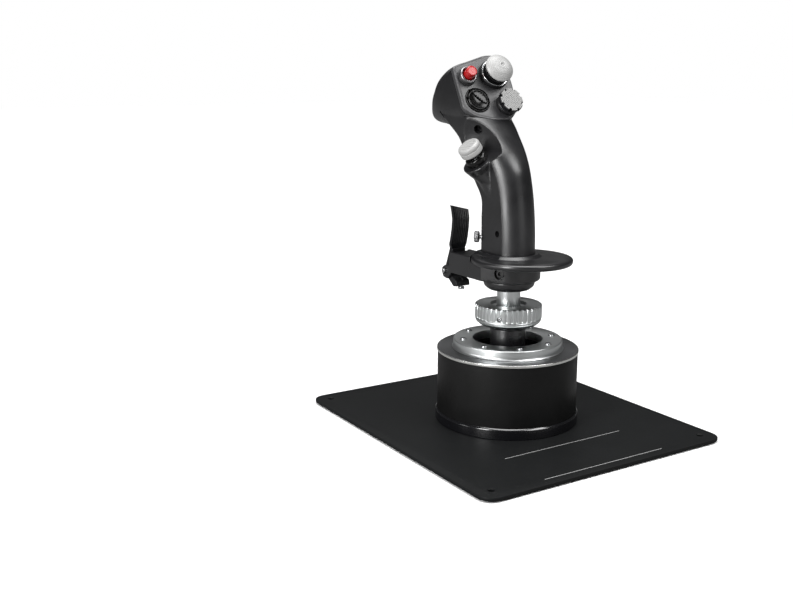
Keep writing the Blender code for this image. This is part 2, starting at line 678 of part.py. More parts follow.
def shelf_bulge(name):
    """The tapered bulge under the side hat, from the shelf down to the flank."""
    seat = side_axes()
    rows = []
    for depth, radius, shift in ((-0.0006, 0.0134, 0.0), (0.0010, 0.0139, 0.0), (0.006, 0.0130, 0.001)):
        row = []
        for k in range(20):
            a = 2 * math.pi * k / 20
            p = seat @ Vector((radius * math.cos(a), radius * math.sin(a), -depth))
            row.append((p.x + shift, p.y, p.z))
        rows.append(row)
    for z, cx, cy, rx, ry in ((0.2050, -0.0130, 0.0150, 0.0060, 0.0105),
                              (0.1930, -0.0115, 0.0080, 0.0040, 0.0070)):
        row = []
        for k in range(20):
            a = 2 * math.pi * k / 20
            d = seat.to_3x3() @ Vector((math.cos(a), math.sin(a), 0))
            flat = Vector((d.x, d.y, 0)).normalized()
            row.append((cx + rx * flat.x, cy + ry * flat.y, z))
        rows.append(row)
    rows.reverse()
    return loft(name, rows)


def thumb_scoop(name):
    """The hollow around the side hat: a ball, cut off level with the shelf."""
    arc = [math.pi * k / 14 for k in range(15)]
    profile = [(SCOOP_R * math.sin(a), SCOOP_R * math.cos(a)) for a in arc]
    profile[0] = (0, SCOOP_R)
    profile[-1] = (0, -SCOOP_R)
    ball = lathe(name, profile, None, at(*SCOOP_CENTRE), 32, smooth=False)
    below = block(name + "_floor", (-0.08, -0.08, -0.08), (0.08, 0.08, 0.0), None, side_axes())
    cut(ball, below)
    return ball


def grip_half(name, side):
    """One half shell of the grip."""
    shell = handle_loft(name + "_skin", 0.0, HANDLE_BOTTOM + GAP, 0.2590)
    mesh = shell.data
    bpy.data.objects.remove(shell, do_unlink=True)
    shell = make(name, mesh, "grip_metal")
    join(shell, loft(name + "_head", head_sections(0.0, 3.0)))
    if side < 0:
        join(shell, shelf_bulge(name + "_bulge"))
        cut(shell, thumb_scoop(name + "_scoop"))
    cut(shell, handle_loft(name + "_hollow", WALL, 0.1500, 0.1915))
    cut(shell, loft(name + "_head_hollow", head_hollow()))
    cut(shell, prism(name + "_face_seat", face_outline(1.0 + GAP / 0.028), -(PLATE_THICK + GAP), 0.060, None,
                     on_face(0, 0, 0)))
    low_x = -SPLIT if side < 0 else -0.08
    high_x = 0.08 if side < 0 else SPLIT
    cut(shell, block(name + "_other", (low_x, -0.08, 0.10), (high_x, 0.16, 0.36)))
    cut(shell, block(name + "_trigger_slot", (-0.0068, 0.0500, 0.2300), (0.0068, 0.0720, 0.2560)))
    across = frame_at(TRIGGER_PIN, (1, 0, 0), (0, 1, 0))
    cut(shell, rod(name + "_trigger_bore", 0.0021, -0.0110, 0.0110, None, across, 16))
    return shell


def face_outline(scale):
    """The face plate's rim in metres, scaled about its centre."""
    cu, cv = FACE_CENTRE
    return [((cu + (u - cu) * scale) * MM, (cv + (v - cv) * scale) * MM)
            for u, v in rounded(FACE_CORNERS, FACE_RADII, 4)]


def head_hollow():
    """The open space inside the head, behind the face plate."""
    return head_sections(4.2, 2.0)[:4]


def build_grip():
    """Two half shells, face plate, screws and circuit board."""
    left = grip_half("grip_left", -1)
    grip_half("grip_right", 1)
    # screw wells on the left flank
    for i, (spot, axis, depth) in enumerate((((-0.0140, 0.0283, 0.2484), (-0.83, -0.45, -0.32), 0.0080),
                                             ((-0.0160, -0.0030, 0.1648), (-1, 0, 0), 0.0070))):
        radius = 0.0038 if i == 0 else 0.0027
        well = frame_at(spot, axis, (0, 1, 0))
        cut(left, rod(f"well_{i}", radius, -depth, 0.008, None, well, 12))
        name = ("grip_screw_upper", "grip_screw_lower")[i]
        rod(name, radius - 0.0004, -depth + 0.0003, -depth + 0.0036, "steel_screw", well, 12)
    seat = on_face(0, 0, 0)
    ring = face_outline(1.0)
    inner = face_outline(0.966)
    rows = [[(u, v, -PLATE_THICK) for u, v in ring], [(u, v, -0.0012) for u, v in ring],
            [(u, v, 0.0) for u, v in inner]]
    plate = loft("face_plate", rows, "grip_metal", seat)
    for name, (u, v), radius in (("trim", TRIM_UV, 0.0060), ("red", RED_UV, 0.0056),
                                 ("dish", DISH_UV, 0.0115), ("gear", GEAR_UV, 0.0060)):
        cut(plate, rod(f"{name}_face_bore", radius, -0.010, 0.010, None, seat @ at(u, v, 0), 24))
    block("grip_board", (-0.0008, -0.0060, 0.1530), (0.0008, 0.0100, 0.1900), "board_green")
    bush = frame_at(MODE_ROOT, MODE_AXIS, (0, 0, 1))
    cut(left, rod("mode_bore", 0.0034, -0.0080, 0.010, None, bush, 20))


# ---------------------------------------------------------------- controls

TRIM_UV = (0.0120, 0.0080)
RED_UV = (-0.0140, 0.0065)
DISH_UV = (-0.0090, -0.0150)
GEAR_UV = (0.0172, -0.0203)


def yoke(name, seat, low, high):
    """The small gimbal ring between a hat's collar and its stem."""
    return tube(name, 0.0031, 0.0043, low, high, "steel_screw", seat, 12)


def build_trim_hat():
    """Large white domed hat."""
    seat = on_face(TRIM_UV[0], TRIM_UV[1], 0)
    lathe("trim_collar", [(0.0120, 0.0042), (0.0130, 0.0036), (0.0132, 0.0030), (0.0132, GAP),
                          (0.0056, GAP), (0.0056, -0.0050), (0.0048, -0.0050), (0.0048, 0.0020),
                          (0.0104, 0.0028), (0.0108, 0.0042)],
          "black_plastic", seat, 24, closed=True, smooth=False)
    yoke("trim_yoke", seat, -0.0020, 0.0016)
    lathe("trim_cap", [(0, 0.0178), (0.0012, 0.0178), (0.0018, 0.0183), (0.0040, 0.0181),
                       (0.0077, 0.0169), (0.0105, 0.0150), (0.0122, 0.0130), (0.0126, 0.0116),
                       (0.0112, 0.0108), (0.0104, 0.0064), (0.0024, 0.0060), (0.0024, -0.0030),
                       (0, -0.0030)],
          "white_plastic", seat, 24, smooth=False)


def build_dish_hat():
    """Glossy dished hat, set in a cup in the face."""
    seat = on_face(DISH_UV[0], DISH_UV[1], 0)
    lathe("dish_cup", [(0.0106, 0.0010), (0.0112, 0.0006), (0.0112, -0.0062), (0.0048, -0.0062),
                       (0.0048, -0.0050), (0.0103, -0.0050), (0.0103, 0.0006)],
          "gloss_black", seat, 24, closed=True, smooth=False)
    yoke("dish_yoke", seat @ at(0, 0, -0.0055), -0.0012, 0.0022)
    cap = lathe("dish_cap", [(0, -0.0002), (0.0040, 0.0000), (0.0075, 0.0008), (0.0086, 0.0016),
                             (0.0094, 0.0010), (0.0096, -0.0004), (0.0092, -0.0018),
                             (0.0024, -0.0022), (0.0024, -0.0085), (0, -0.0085)],
                "gloss_black", seat, 24, smooth=False)
    turned = seat @ Matrix.Rotation(math.radians(45), 4, "Z")
    half = block("dish_ridge", (0.0016, -0.0076, -0.0012), (0.0078, 0.0076, 0.0020), None, turned)
    trim = rod("dish_ridge_round", 0.0084, -0.002, 0.004, None, turned, 24)
    boolean(half, trim, "INTERSECT")
    join(cap, half)


def build_gear_hat():
    """Castellated hat with a light textured pad."""
    seat = on_face(GEAR_UV[0], GEAR_UV[1], 0)
    lathe("gear_collar", [(0.0082, 0.0040), (0.0092, 0.0030), (0.0096, GAP), (0.0056, GAP),
                          (0.0056, -0.0050), (0.0048, -0.0050), (0.0048, 0.0020),
                          (0.0070, 0.0030), (0.0072, 0.0040)],
          "black_plastic", seat, 24, closed=True, smooth=False)
    yoke("gear_yoke", seat, -0.0020, 0.0016)
    cap = lathe("gear_cap", [(0, 0.0095), (0.0104, 0.0095), (0.0108, 0.0090), (0.0108, 0.0066),
                             (0.0100, 0.0060), (0.0024, 0.0056), (0.0024, -0.0030), (0, -0.0030)],
                "black_plastic", seat, 24, smooth=False)
    pad = rod("gear_pad", 0.0102, 0.0098, 0.0106, "grey_plastic", seat, 24)
    for i in range(8):
        a = math.radians(22.5 + 45.0 * i)
        notch = seat @ Matrix.Rotation(a, 4, "Z") @ at(0.0110, 0, 0)
        bite = block(f"gear_notch_{i}", (-0.0022, -0.0013, 0.0058), (0.0022, 0.0013, 0.0120), None, notch)
        cut(cap, bite)
        cut(pad, bite)


def build_side_hat():
    """Ribbed side hat on its black collar: tilts two ways and pushes in."""
    seat = side_axes()
    lathe("side_collar", [(0.0078, 0.0056), (0.0088, 0.0050), (0.0094, 0.0036), (0.0094, GAP),
                          (0.0048, GAP), (0.0048, 0.0030), (0.0066, 0.0042), (0.0066, 0.0056)],
          "gloss_black", seat, 24, closed=True, smooth=False)
    yoke("side_yoke", seat @ at(0, 0, 0.0018), -0.0012, 0.0012)
    lathe("side_stem", [(0, 0.0120), (0.0022, 0.0120), (0.0022, 0.0008), (0, 0.0008)],
          "steel_screw", seat, 12, smooth=False)
    cap = lathe("side_cap", [(0, 0.0176), (0.0070, 0.0176), (0.0088, 0.0170), (0.0096, 0.0156),
                             (0.0096, 0.0092), (0.0086, 0.0084), (0.0028, 0.0084),
                             (0.0028, 0.0146), (0, 0.0146)],
                "white_plastic", seat, 24, smooth=False)
    for i in range(5):
        y = (i - 2) * 0.0030
        cut(cap, block(f"side_rib_{i}", (-0.012, y - 0.0005, 0.0168), (0.012, y + 0.0005, 0.0190),
                       None, seat))


def build_buttons():
    """Red release button with its bezel, and the small knurled mode button."""
    seat = on_face(RED_UV[0], RED_UV[1], 0)
    lathe("red_bezel", [(0.0064, 0.0052), (0.0076, 0.0046), (0.0080, 0.0036), (0.0082, GAP),
                        (0.0053, GAP), (0.0053, -0.0050), (0.0050, -0.0050), (0.0050, 0.0052)],
          "chrome_trim", seat, 24, closed=True, smooth=False)
    lathe("red_button", [(0, 0.0112), (0.0040, 0.0112), (0.0046, 0.0106), (0.0046, -0.0036),
                         (0, -0.0036)], "red_plastic", seat, 24, smooth=False)
    bush = frame_at(MODE_ROOT, MODE_AXIS, (0, 0, 1))
    tube("mode_bush", 0.0020, 0.0031, -0.0060, 0.0018, "steel_screw", bush, 12)
    lathe("mode_button", [(0, 0.0080), (0.0040, 0.0080), (0.0048, 0.0074), (0.0048, 0.0044),
                          (0.0042, 0.0038), (0.0017, 0.0036), (0.0017, -0.0050), (0, -0.0050)],
          "brushed_silver", bush, 20, smooth=False)


def build_trigger():
    """The curved trigger blade and its pin."""
    pin = TRIGGER_PIN
    side = [(-0.0040, 0.0030), (-0.0052, -0.0050), (-0.0076, -0.0110), (-0.0080, -0.0180),
            (-0.0066, -0.0240), (-0.0044, -0.0285), (-0.0028, -0.0292), (-0.0024, -0.0270),
            (-0.0040, -0.0220), (-0.0048, -0.0170), (-0.0036, -0.0100), (0.0010, -0.0030),
            (0.0044, 0.0034)]
    turned = at(pin.x, pin.y, pin.z) @ Matrix(((0, 0, 1, 0), (1, 0, 0, 0), (0, 1, 0, 0), (0, 0, 0, 1)))
    blade = prism("trigger", side, -0.0060, 0.0060, "red_plastic", turned)
    edge = blade.modifiers.new("edge", "BEVEL")
    edge.width = 0.0008
    edge.segments = 1
    across = frame_at(pin, (1, 0, 0), (0, 1, 0))
    cut(blade, rod("trigger_eye", 0.0021, -0.012, 0.012, None, across, 16))
    rod("trigger_pin", 0.0018, -0.0106, 0.0106, "steel_screw", across, 16)


clear_scene()
PARTS = collection("flight_joystick")
CUTTERS = collection("cutters")
build_base_plate()
build_housing()
build_gimbal()
build_nut()
build_grip_foot()
build_paddle()
build_grip()
build_trim_hat()
build_dish_hat()
build_gear_hat()
build_side_hat()
build_buttons()
build_trigger()
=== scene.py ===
"""Looks of the desk flight joystick: fine meshes and procedural materials on the frame."""
import json
from math import acos, copysign, cos, hypot, pi, radians, sin, sqrt

import bmesh
import bpy
import numpy as np
from mathutils import Matrix, Vector


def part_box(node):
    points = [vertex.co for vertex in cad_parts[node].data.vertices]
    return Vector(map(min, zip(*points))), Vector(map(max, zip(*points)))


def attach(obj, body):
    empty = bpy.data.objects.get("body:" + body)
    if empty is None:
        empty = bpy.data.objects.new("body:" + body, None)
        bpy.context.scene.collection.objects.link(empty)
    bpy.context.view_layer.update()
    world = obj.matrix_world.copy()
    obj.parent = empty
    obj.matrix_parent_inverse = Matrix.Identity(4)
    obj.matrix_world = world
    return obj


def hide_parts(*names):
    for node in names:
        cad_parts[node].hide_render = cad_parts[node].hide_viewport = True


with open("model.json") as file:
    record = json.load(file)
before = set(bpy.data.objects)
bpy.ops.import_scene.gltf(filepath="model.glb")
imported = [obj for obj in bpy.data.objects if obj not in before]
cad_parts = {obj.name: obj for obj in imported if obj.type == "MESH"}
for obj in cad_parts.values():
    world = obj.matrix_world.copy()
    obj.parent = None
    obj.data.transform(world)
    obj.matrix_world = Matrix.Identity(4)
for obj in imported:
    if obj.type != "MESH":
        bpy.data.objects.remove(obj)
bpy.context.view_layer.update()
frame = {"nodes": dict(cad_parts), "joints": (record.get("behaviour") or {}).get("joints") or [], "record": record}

JOINT = {j["name"]: j for j in frame["joints"]}
BODY_OF = {n: b for b, nodes in frame["record"]["behaviour"]["bodies"].items() for n in nodes}
MM = 0.001
GAP_MM = 0.3
GAP = GAP_MM * MM
SEGMENTS = 128


# ---- places, from the frame

def spot(joint):
    """A joint's point."""
    return Vector(JOINT[joint]["pos_m"])


def way(joint):
    """A joint's direction."""
    return Vector(JOINT[joint]["axis"]).normalized()


def frame_at(origin, axis, side=(1.0, 0.0, 0.0)):
    """A matrix whose local Z is the axis and whose local X leans to the side given."""
    z = Vector(axis).normalized()
    x = (Vector(side) - z * z.dot(Vector(side))).normalized()
    turned = Matrix((x, z.cross(x), z)).transposed().to_4x4()
    turned.translation = Vector(origin)
    return turned


def at(x, y, z):
    """A plain move."""
    return Matrix.Translation((x, y, z))


PIVOT = spot("stick_pitch")
FACE_OUT = -way("red_press")
FACE_RIGHT = way("trim_pitch")
FACE_POINT = Vector((0.0, 0.042, 0.285))


def on_face(seat):
    """The frame of a control that stands on the face plate."""
    return frame_at(seat, FACE_OUT, FACE_RIGHT)


def mm(points):
    """Points given in millimetres, in metres."""
    return [tuple(v * MM for v in p) for p in points]


def heights_of(node):
    """The lowest and highest Z of a CAD node."""
    low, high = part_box(node)
    return low.z, high.z


def middle_of(node):
    """The middle of a CAD node's box."""
    low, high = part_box(node)
    return (low + high) / 2


def bore_of(node):
    """A level frame on the stick's axis that points out to a screw."""
    middle = middle_of(node)
    return frame_at((0, 0, middle.z), Vector((middle.x, middle.y, 0)).normalized())


FACE = on_face(FACE_POINT)
TRIM = on_face(spot("trim_pitch") + FACE_OUT * 0.0002)
DISH = on_face(spot("dish_pitch") + FACE_OUT * 0.005)
GEAR = on_face(spot("gear_pitch") + FACE_OUT * 0.0002)
RED = on_face(spot("red_press") - FACE_OUT * 0.0112)
SIDE_OUT = -way("side_press")
SIDE = frame_at(spot("side_press") - SIDE_OUT * 0.0176, SIDE_OUT, (0, 1, 0))
MODE_OUT = -way("mode_press")
MODE = frame_at(spot("mode_press") - MODE_OUT * 0.008, MODE_OUT, (0, 0, 1))
PADDLE_PIN = spot("paddle_pull")
TRIGGER_PIN = spot("trigger_pull")
ACROSS_PADDLE = frame_at(PADDLE_PIN, (1, 0, 0), (0, 1, 0))
ACROSS_TRIGGER = frame_at(TRIGGER_PIN, (1, 0, 0), (0, 1, 0))


# ---- meshes

def new_object(name, mesh, matrix=None):
    """Link a mesh to the scene."""
    obj = bpy.data.objects.new(name, mesh)
    bpy.context.scene.collection.objects.link(obj)
    if matrix is not None:
        obj.matrix_world = matrix
    return obj


def mesh_from(name, verts, faces, matrix=None):
    """A mesh object with its faces turned outward."""
    form = bmesh.new()
    points = [form.verts.new(v) for v in verts]
    for face in faces:
        form.faces.new([points[i] for i in face])
    bmesh.ops.recalc_face_normals(form, faces=form.faces)
    mesh = bpy.data.meshes.new(name)
    form.to_mesh(mesh)
    form.free()
    return new_object(name, mesh, matrix)


def arc_point(a, corner, b, t):
    """A point of the curve that rounds a corner between a and b."""
    return tuple((1 - t) ** 2 * a + 2 * t * (1 - t) * corner + t * t * b)


def blend(a, b, leave, arrive, t):
    """A smooth curve from a to b with the slopes given."""
    h = t * t * (3 - 2 * t)
    return a * (1 - h) + b * h + leave * (t ** 3 - 2 * t * t + t) + arrive * (t ** 3 - t * t)


def circle(count):
    """Cosine and sine at even angles."""
    return [(cos(2 * pi * k / count), sin(2 * pi * k / count)) for k in range(count)]


def soften(profile, closed, steps=4):
    """Round a profile's corners. A point is (radius, height) or (radius, height, rounding)."""
    out = []
    count = len(profile)
    for i, point in enumerate(profile):
        here = np.array(point[:2], float)
        rounding = point[2] if len(point) > 2 else 0.0
        if not rounding or (not closed and i in (0, count - 1)):
            out.append(tuple(here))
            continue
        back = np.array(profile[i - 1][:2], float) - here
        ahead = np.array(profile[(i + 1) % count][:2], float) - here
        reach = min(rounding, np.linalg.norm(back) * 0.48, np.linalg.norm(ahead) * 0.48)
        a = here + back / np.linalg.norm(back) * reach
        b = here + ahead / np.linalg.norm(ahead) * reach
        out += [arc_point(a, here, b, k / steps) for k in range(steps + 1)]
    return out


def turned(name, profile, matrix=None, steps=SEGMENTS, closed=False, shape=None):
    """Turn a profile about local Z. shape(angle, radius, height) can alter a radius."""
    points = soften(profile, closed)
    verts, rows = [], []
    for r, z in points:
        if r < 1e-7:
            rows.append([len(verts)] * steps)
            verts.append((0.0, 0.0, z))
            continue
        row = []
        for k in range(steps):
            a = 2 * pi * k / steps
            reach = shape(a, r, z) if shape else r
            row.append(len(verts))
            verts.append((reach * cos(a), reach * sin(a), z))
        rows.append(row)
    faces = []
    pairs = list(zip(rows[:-1], rows[1:]))
    if closed:
        pairs.append((rows[-1], rows[0]))
    for upper, lower in pairs:
        for k in range(steps):
            j = (k + 1) % steps
            ring = [upper[k], lower[k], lower[j], upper[j]]
            face = [v for i, v in enumerate(ring) if v not in ring[:i]]
            if len(face) > 2:
                faces.append(face)
    return mesh_from(name, verts, faces, matrix)


def rod(name, radius, low, high, matrix=None, steps=48, edge=0.0):
    """A cylinder along local Z with rounded ends."""
    return turned(name, [(0, high), (radius, high, edge), (radius, low, edge), (0, low)], matrix,
        steps)


def loft(name, sections, matrix=None):
    """A closed skin through sections of equal point counts, capped at both ends."""
    count = len(sections[0])
    verts = [p for section in sections for p in section]
    faces = []
    for row in range(len(sections) - 1):
        a, b = row * count, (row + 1) * count
        for i in range(count):
            j = (i + 1) % count
            faces.append((a + i, a + j, b + j, b + i))
    faces.append(tuple(reversed(range(count))))
    faces.append(tuple(range(len(verts) - count, len(verts))))
    return mesh_from(name, verts, faces, matrix)


def prism(name, outline, low, high, matrix=None):
    """A flat outline of (x, y) points with a thickness along local Z."""
    return loft(name, [[(x, y, low) for x, y in outline], [(x, y, high) for x, y in outline]],
        matrix)


def block(name, low, high, matrix=None):
    """A box between two corners, as a cutter or a body to be rounded later."""
    (x0, y0, z0), (x1, y1, z1) = low, high
    return prism(name, [(x0, y0), (x1, y0), (x1, y1), (x0, y1)], z0, z1, matrix)


def settle(obj):
    """Apply an object's modifiers to its mesh."""
    graph = bpy.context.evaluated_depsgraph_get()
    graph.update()
    mesh = bpy.data.meshes.new_from_object(obj.evaluated_get(graph))
    obj.modifiers.clear()
    obj.data = mesh
    return obj


def combine(obj, others, operation):
    """Cut, join or trim an object with closed solids, which are used up."""
    for other in others:
        step = obj.modifiers.new("solid", "BOOLEAN")
        step.operation = operation
        step.solver = "MANIFOLD"
        step.object = other
    settle(obj)
    for other in others:
        bpy.data.objects.remove(other, do_unlink=True)
    return obj


def cut(obj, *others):
    """Take solids away."""
    return combine(obj, others, "DIFFERENCE")


def join(obj, *others):
    """Add solids."""
    return combine(obj, others, "UNION")


def triangulate(obj):
    """Split warped faces before a solid operation."""
    form = bmesh.new()
    form.from_mesh(obj.data)
    bmesh.ops.triangulate(form, faces=form.faces)
    form.to_mesh(obj.data)
    form.free()
    return obj


def cast(obj, voxel, smoothing):
    """Give a solid the soft inner and outer corners of a casting."""
    grid = obj.modifiers.new("grid", "REMESH")
    grid.mode = "VOXEL"
    grid.voxel_size = voxel
    soft = obj.modifiers.new("soft", "SMOOTH")
    soft.factor = 0.5
    soft.iterations = smoothing
    return settle(obj)


def bevel(obj, width, segments=3, angle=30.0):
    """Round the sharp edges of a solid."""
    edge = obj.modifiers.new("edge", "BEVEL")
    edge.width = width
    edge.segments = segments
    edge.limit_method = "ANGLE"
    edge.angle_limit = radians(angle)
    return settle(obj)


def place(obj, look, node, hides=True, angle=32.0):
    """Finish a piece: its material, shading, body and the CAD node it stands for."""
    mesh = obj.data
    mesh.materials.clear()
    mesh.materials.append(look)
    mesh.polygons.foreach_set("material_index", [0] * len(mesh.polygons))
    mesh.shade_smooth()
    mesh.set_sharp_from_angle(angle=radians(angle))
    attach(obj, BODY_OF[node])
    if hides:
        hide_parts(node)
    return obj


def lathe(node, look, profile, matrix=None, steps=SEGMENTS, closed=False, shape=None, angle=32.0):
    """A turned piece that stands for a CAD node."""
    place(turned(node + "_detail", profile, matrix, steps, closed, shape), look, node, angle=angle)


# ---- materials

def dial(node, values):
    """Set a shader node's sockets by name."""
    for key, value in values.items():
        node.inputs[key].default_value = value


class Tree:
    """A small helper that adds and links shader nodes."""

    def __init__(self, name):
        self.material = bpy.data.materials.new(name)
        self.material.use_nodes = True
        self.nodes = self.material.node_tree.nodes
        self.links = self.material.node_tree.links
        self.shader = self.nodes["Principled BSDF"]
        self.coords = self.nodes.new("ShaderNodeTexCoord").outputs["Object"]

    def put(self, socket, value):
        """Link an output to a socket, or set the socket's value."""
        if isinstance(value, bpy.types.NodeSocket):
            self.links.new(value, socket)
        else:
            socket.default_value = value

    def math(self, kind, a, b=0.0):
        """One Math node."""
        node = self.nodes.new("ShaderNodeMath")
        node.operation = kind
        self.put(node.inputs[0], a)
        self.put(node.inputs[1], b)
        return node.outputs[0]

    def noise(self, vector, scale, detail=3.0, roughness=0.55):
        """One Noise node."""
        node = self.nodes.new("ShaderNodeTexNoise")
        self.put(node.inputs["Vector"], vector)
        dial(node, {"Scale": scale, "Detail": detail, "Roughness": roughness})
        return node.outputs["Fac"]

    def span(self, value, low, high, start=0.3, end=0.7):
        """Map a value's range to another."""
        node = self.nodes.new("ShaderNodeMapRange")
        self.put(node.inputs["Value"], value)
        dial(node, {"From Min": start, "From Max": end, "To Min": low, "To Max": high})
        return node.outputs["Result"]

    def mix(self, factor, a, b):
        """Mix two colours."""
        node = self.nodes.new("ShaderNodeMix")
        node.data_type = "RGBA"
        self.put(node.inputs["Factor"], factor)
        self.put(node.inputs["A"], a)
        self.put(node.inputs["B"], b)
        return node.outputs["Result"]

    def split(self):
        """X, Y and Z of the object's own coordinates."""
        node = self.nodes.new("ShaderNodeSeparateXYZ")
        self.links.new(self.coords, node.inputs[0])
        return node.outputs

    def turning(self):
        """Coordinates that change only with radius and height."""
        x, y, z = self.split()
        radius = self.math("SQRT", self.math("ADD", self.math("MULTIPLY", x, x),
            self.math("MULTIPLY", y, y)))
        node = self.nodes.new("ShaderNodeCombineXYZ")
        self.links.new(radius, node.inputs[0])
        self.links.new(z, node.inputs[1])
        return node.outputs[0]

    def bump(self, height, strength, distance, under=None):
        """One Bump node."""
        node = self.nodes.new("ShaderNodeBump")
        dial(node, {"Strength": strength, "Distance": distance})
        self.put(node.inputs["Height"], height)
        if under is not None:
            self.put(node.inputs["Normal"], under)
        return node.outputs["Normal"]


def surface(name, colour, rough, metal=0.0, spread=0.18, vary=0.06, grain=3500.0, depth=2e-5,
        rings=0.0, ring_depth=2e-5, brushed=0.0, coat=0.0, shine=0.5, mark=None):
    """A procedural finish that drifts and has a fine grain, and turned rings if asked."""
    tree = Tree(name)
    cloud = tree.noise(tree.coords, 38.0, 4.0)
    fine = tree.noise(tree.coords, grain, 2.0)
    dark = [c * (1 - spread) for c in colour] + [1.0]
    light = [min(1.0, c * (1 + spread)) for c in colour] + [1.0]
    tint = tree.mix(tree.span(cloud, 0.0, 1.0), dark, light)
    gloss = tree.span(cloud, rough - vary, rough + vary)
    normal = tree.bump(fine, 0.6, depth)
    if rings:
        lines = tree.noise(tree.turning(), rings, 3.0, 0.7)
        normal = tree.bump(lines, 0.8, ring_depth, normal)
        gloss = tree.math("ADD", gloss, tree.span(lines, -vary, vary))
        tint = tree.mix(tree.span(lines, 0.0, 0.35), tint, light)
    if mark:
        tint, gloss = mark(tree, tint, gloss)
    shader = tree.shader
    tree.put(shader.inputs["Base Color"], tint)
    tree.put(shader.inputs["Roughness"], gloss)
    tree.put(shader.inputs["Normal"], normal)
    dial(shader, {"Metallic": metal, "IOR": 1.5, "Specular IOR Level": shine})
    if coat:
        dial(shader, {"Coat Weight": coat, "Coat Roughness": 0.08})
    if brushed:
        dial(shader, {"Anisotropic": brushed})
        tangent = tree.nodes.new("ShaderNodeTangent")
        tangent.direction_type = "RADIAL"
        tangent.axis = "Z"
        tree.links.new(tangent.outputs[0], shader.inputs["Tangent"])
    return tree.material


RULE_X = -0.002
RULE_HALF = 0.0595
RULES_Y = (-0.079, -0.1265)
RULE_WIDTH = 0.00032


def plain_rules(tree, tint, gloss):
    """Two thin light rules printed across the front of the plate."""
    x, y, z = tree.split()
    across = tree.math("LESS_THAN", tree.math("ABSOLUTE", tree.math("SUBTRACT", x, RULE_X)),
        RULE_HALF)
    total = None
    for level in RULES_Y:
        near = tree.math("LESS_THAN", tree.math("ABSOLUTE", tree.math("SUBTRACT", y, level)),
            RULE_WIDTH)
        total = near if total is None else tree.math("MAXIMUM", total, near)
    top = tree.math("GREATER_THAN", z, heights_of("base_plate")[1] - 0.0002)
    printed = tree.math("MULTIPLY", tree.math("MULTIPLY", across, total), top)
    return tree.mix(printed, tint, (0.34, 0.34, 0.34, 1.0)), gloss


POWDER = surface("powder_coat", (0.0075, 0.008, 0.0083), 0.5, spread=0.06, vary=0.015, grain=2600.0,
    depth=3e-5, shine=0.13, mark=plain_rules)
TURNED = surface("turned_black", (0.0045, 0.0045, 0.0045), 0.4, spread=0.3, rings=1500.0,
    ring_depth=8e-5, brushed=0.5, shine=0.2)
BAND_BLACK = surface("band_black", (0.004, 0.004, 0.005), 0.14, vary=0.03, depth=2e-6, shine=1.0)
CAST_BLACK = surface("cast_black", (0.008, 0.008, 0.009), 0.31, grain=2400.0, depth=2e-5,
    shine=0.85)
GRIP_BLACK = surface("grip_black", (0.01, 0.01, 0.011), 0.33, grain=2600.0, depth=3e-5, shine=0.75)
MOULDED = surface("moulded_black", (0.008, 0.008, 0.009), 0.42, grain=3200.0, depth=3e-5, shine=0.4)
GLOSS = surface("gloss_black", (0.004, 0.004, 0.004), 0.17, vary=0.03, depth=2e-6, coat=0.1,
    shine=0.3)
FACE_BLACK = surface("face_black", (0.04, 0.04, 0.042), 0.38, grain=2600.0, depth=2e-5, shine=0.8)
KNURLED = surface("knurled_steel", (0.26, 0.26, 0.265), 0.36, 1.0, spread=0.04, vary=0.03,
    depth=2e-6)
RUBBER = surface("rubber", (0.018, 0.018, 0.018), 0.78, grain=1800.0, depth=6e-5)
# The flange's brushed aluminium is given a darker colour than the top ring's: painted shade for the dark
# reflection on its face.
FLANGE_SHADED_ALUMINIUM = surface("flange_painted_shade", (0.15, 0.152, 0.157), 0.34, 1.0, spread=0.06, vary=0.02,
    depth=1e-6, rings=1400.0, ring_depth=1e-6, brushed=0.6)
SILVER = surface("brushed_aluminium", (0.64, 0.66, 0.66), 0.31, 1.0, spread=0.03, vary=0.02,
    depth=1e-6, rings=1400.0, ring_depth=1e-6, brushed=0.5)
BRIGHT = surface("polished_edge", (0.8, 0.8, 0.78), 0.22, 1.0, spread=0.03, vary=0.03, depth=2e-6,
    rings=2500.0, ring_depth=4e-6)
STEEL = surface("screw_steel", (0.62, 0.63, 0.64), 0.2, 1.0, spread=0.04, vary=0.03, depth=2e-6,
    rings=3000.0, ring_depth=4e-6)
CHROME = surface("chrome", (0.62, 0.63, 0.64), 0.24, 1.0, spread=0.02, vary=0.02, depth=2e-6)
WHITE = surface("pale_plastic", (0.42, 0.42, 0.415), 0.36, spread=0.03, rings=1500.0,
    ring_depth=1e-5)
GREY = surface("grey_plastic", (0.36, 0.36, 0.355), 0.48, spread=0.08, grain=3000.0, depth=4e-5)
RED_PLASTIC = surface("red_plastic", (0.42, 0.012, 0.014), 0.26, spread=0.1, coat=0.25)
SPRING = surface("spring_steel", (0.4, 0.4, 0.41), 0.32, 1.0, rings=2000.0)
BOARD = surface("board_green", (0.012, 0.11, 0.045), 0.42, spread=0.3, grain=700.0)


# ---- base

HOUSING_R = 0.0594
BAND_R = 0.061
FLANGE_R = 0.06
RING_R = 0.0463
MOUTH_R = 0.0295
BAND_TOP = heights_of("base_band")[1]
PLATE_LOW, PLATE_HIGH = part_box("base_plate")
FLANGE_LOW, FLANGE_TOP = heights_of("base_flange")
RING_TOP = heights_of("top_ring")[1]
GLAND = frame_at((0.0, HOUSING_R, 0.023), (0, 1, 0))


def rounded(corners, radii, segments=6):
    """Round the corners of a convex outline."""
    out = []
    count = len(corners)
    for i in range(count):
        here = np.array(corners[i], float)
        back = np.array(corners[i - 1], float) - here
        ahead = np.array(corners[(i + 1) % count], float) - here
        a = here + back / np.linalg.norm(back) * radii[i]
        b = here + ahead / np.linalg.norm(ahead) * radii[i]
        out += [arc_point(a, here, b, k / segments) for k in range(segments + 1)]
    return out


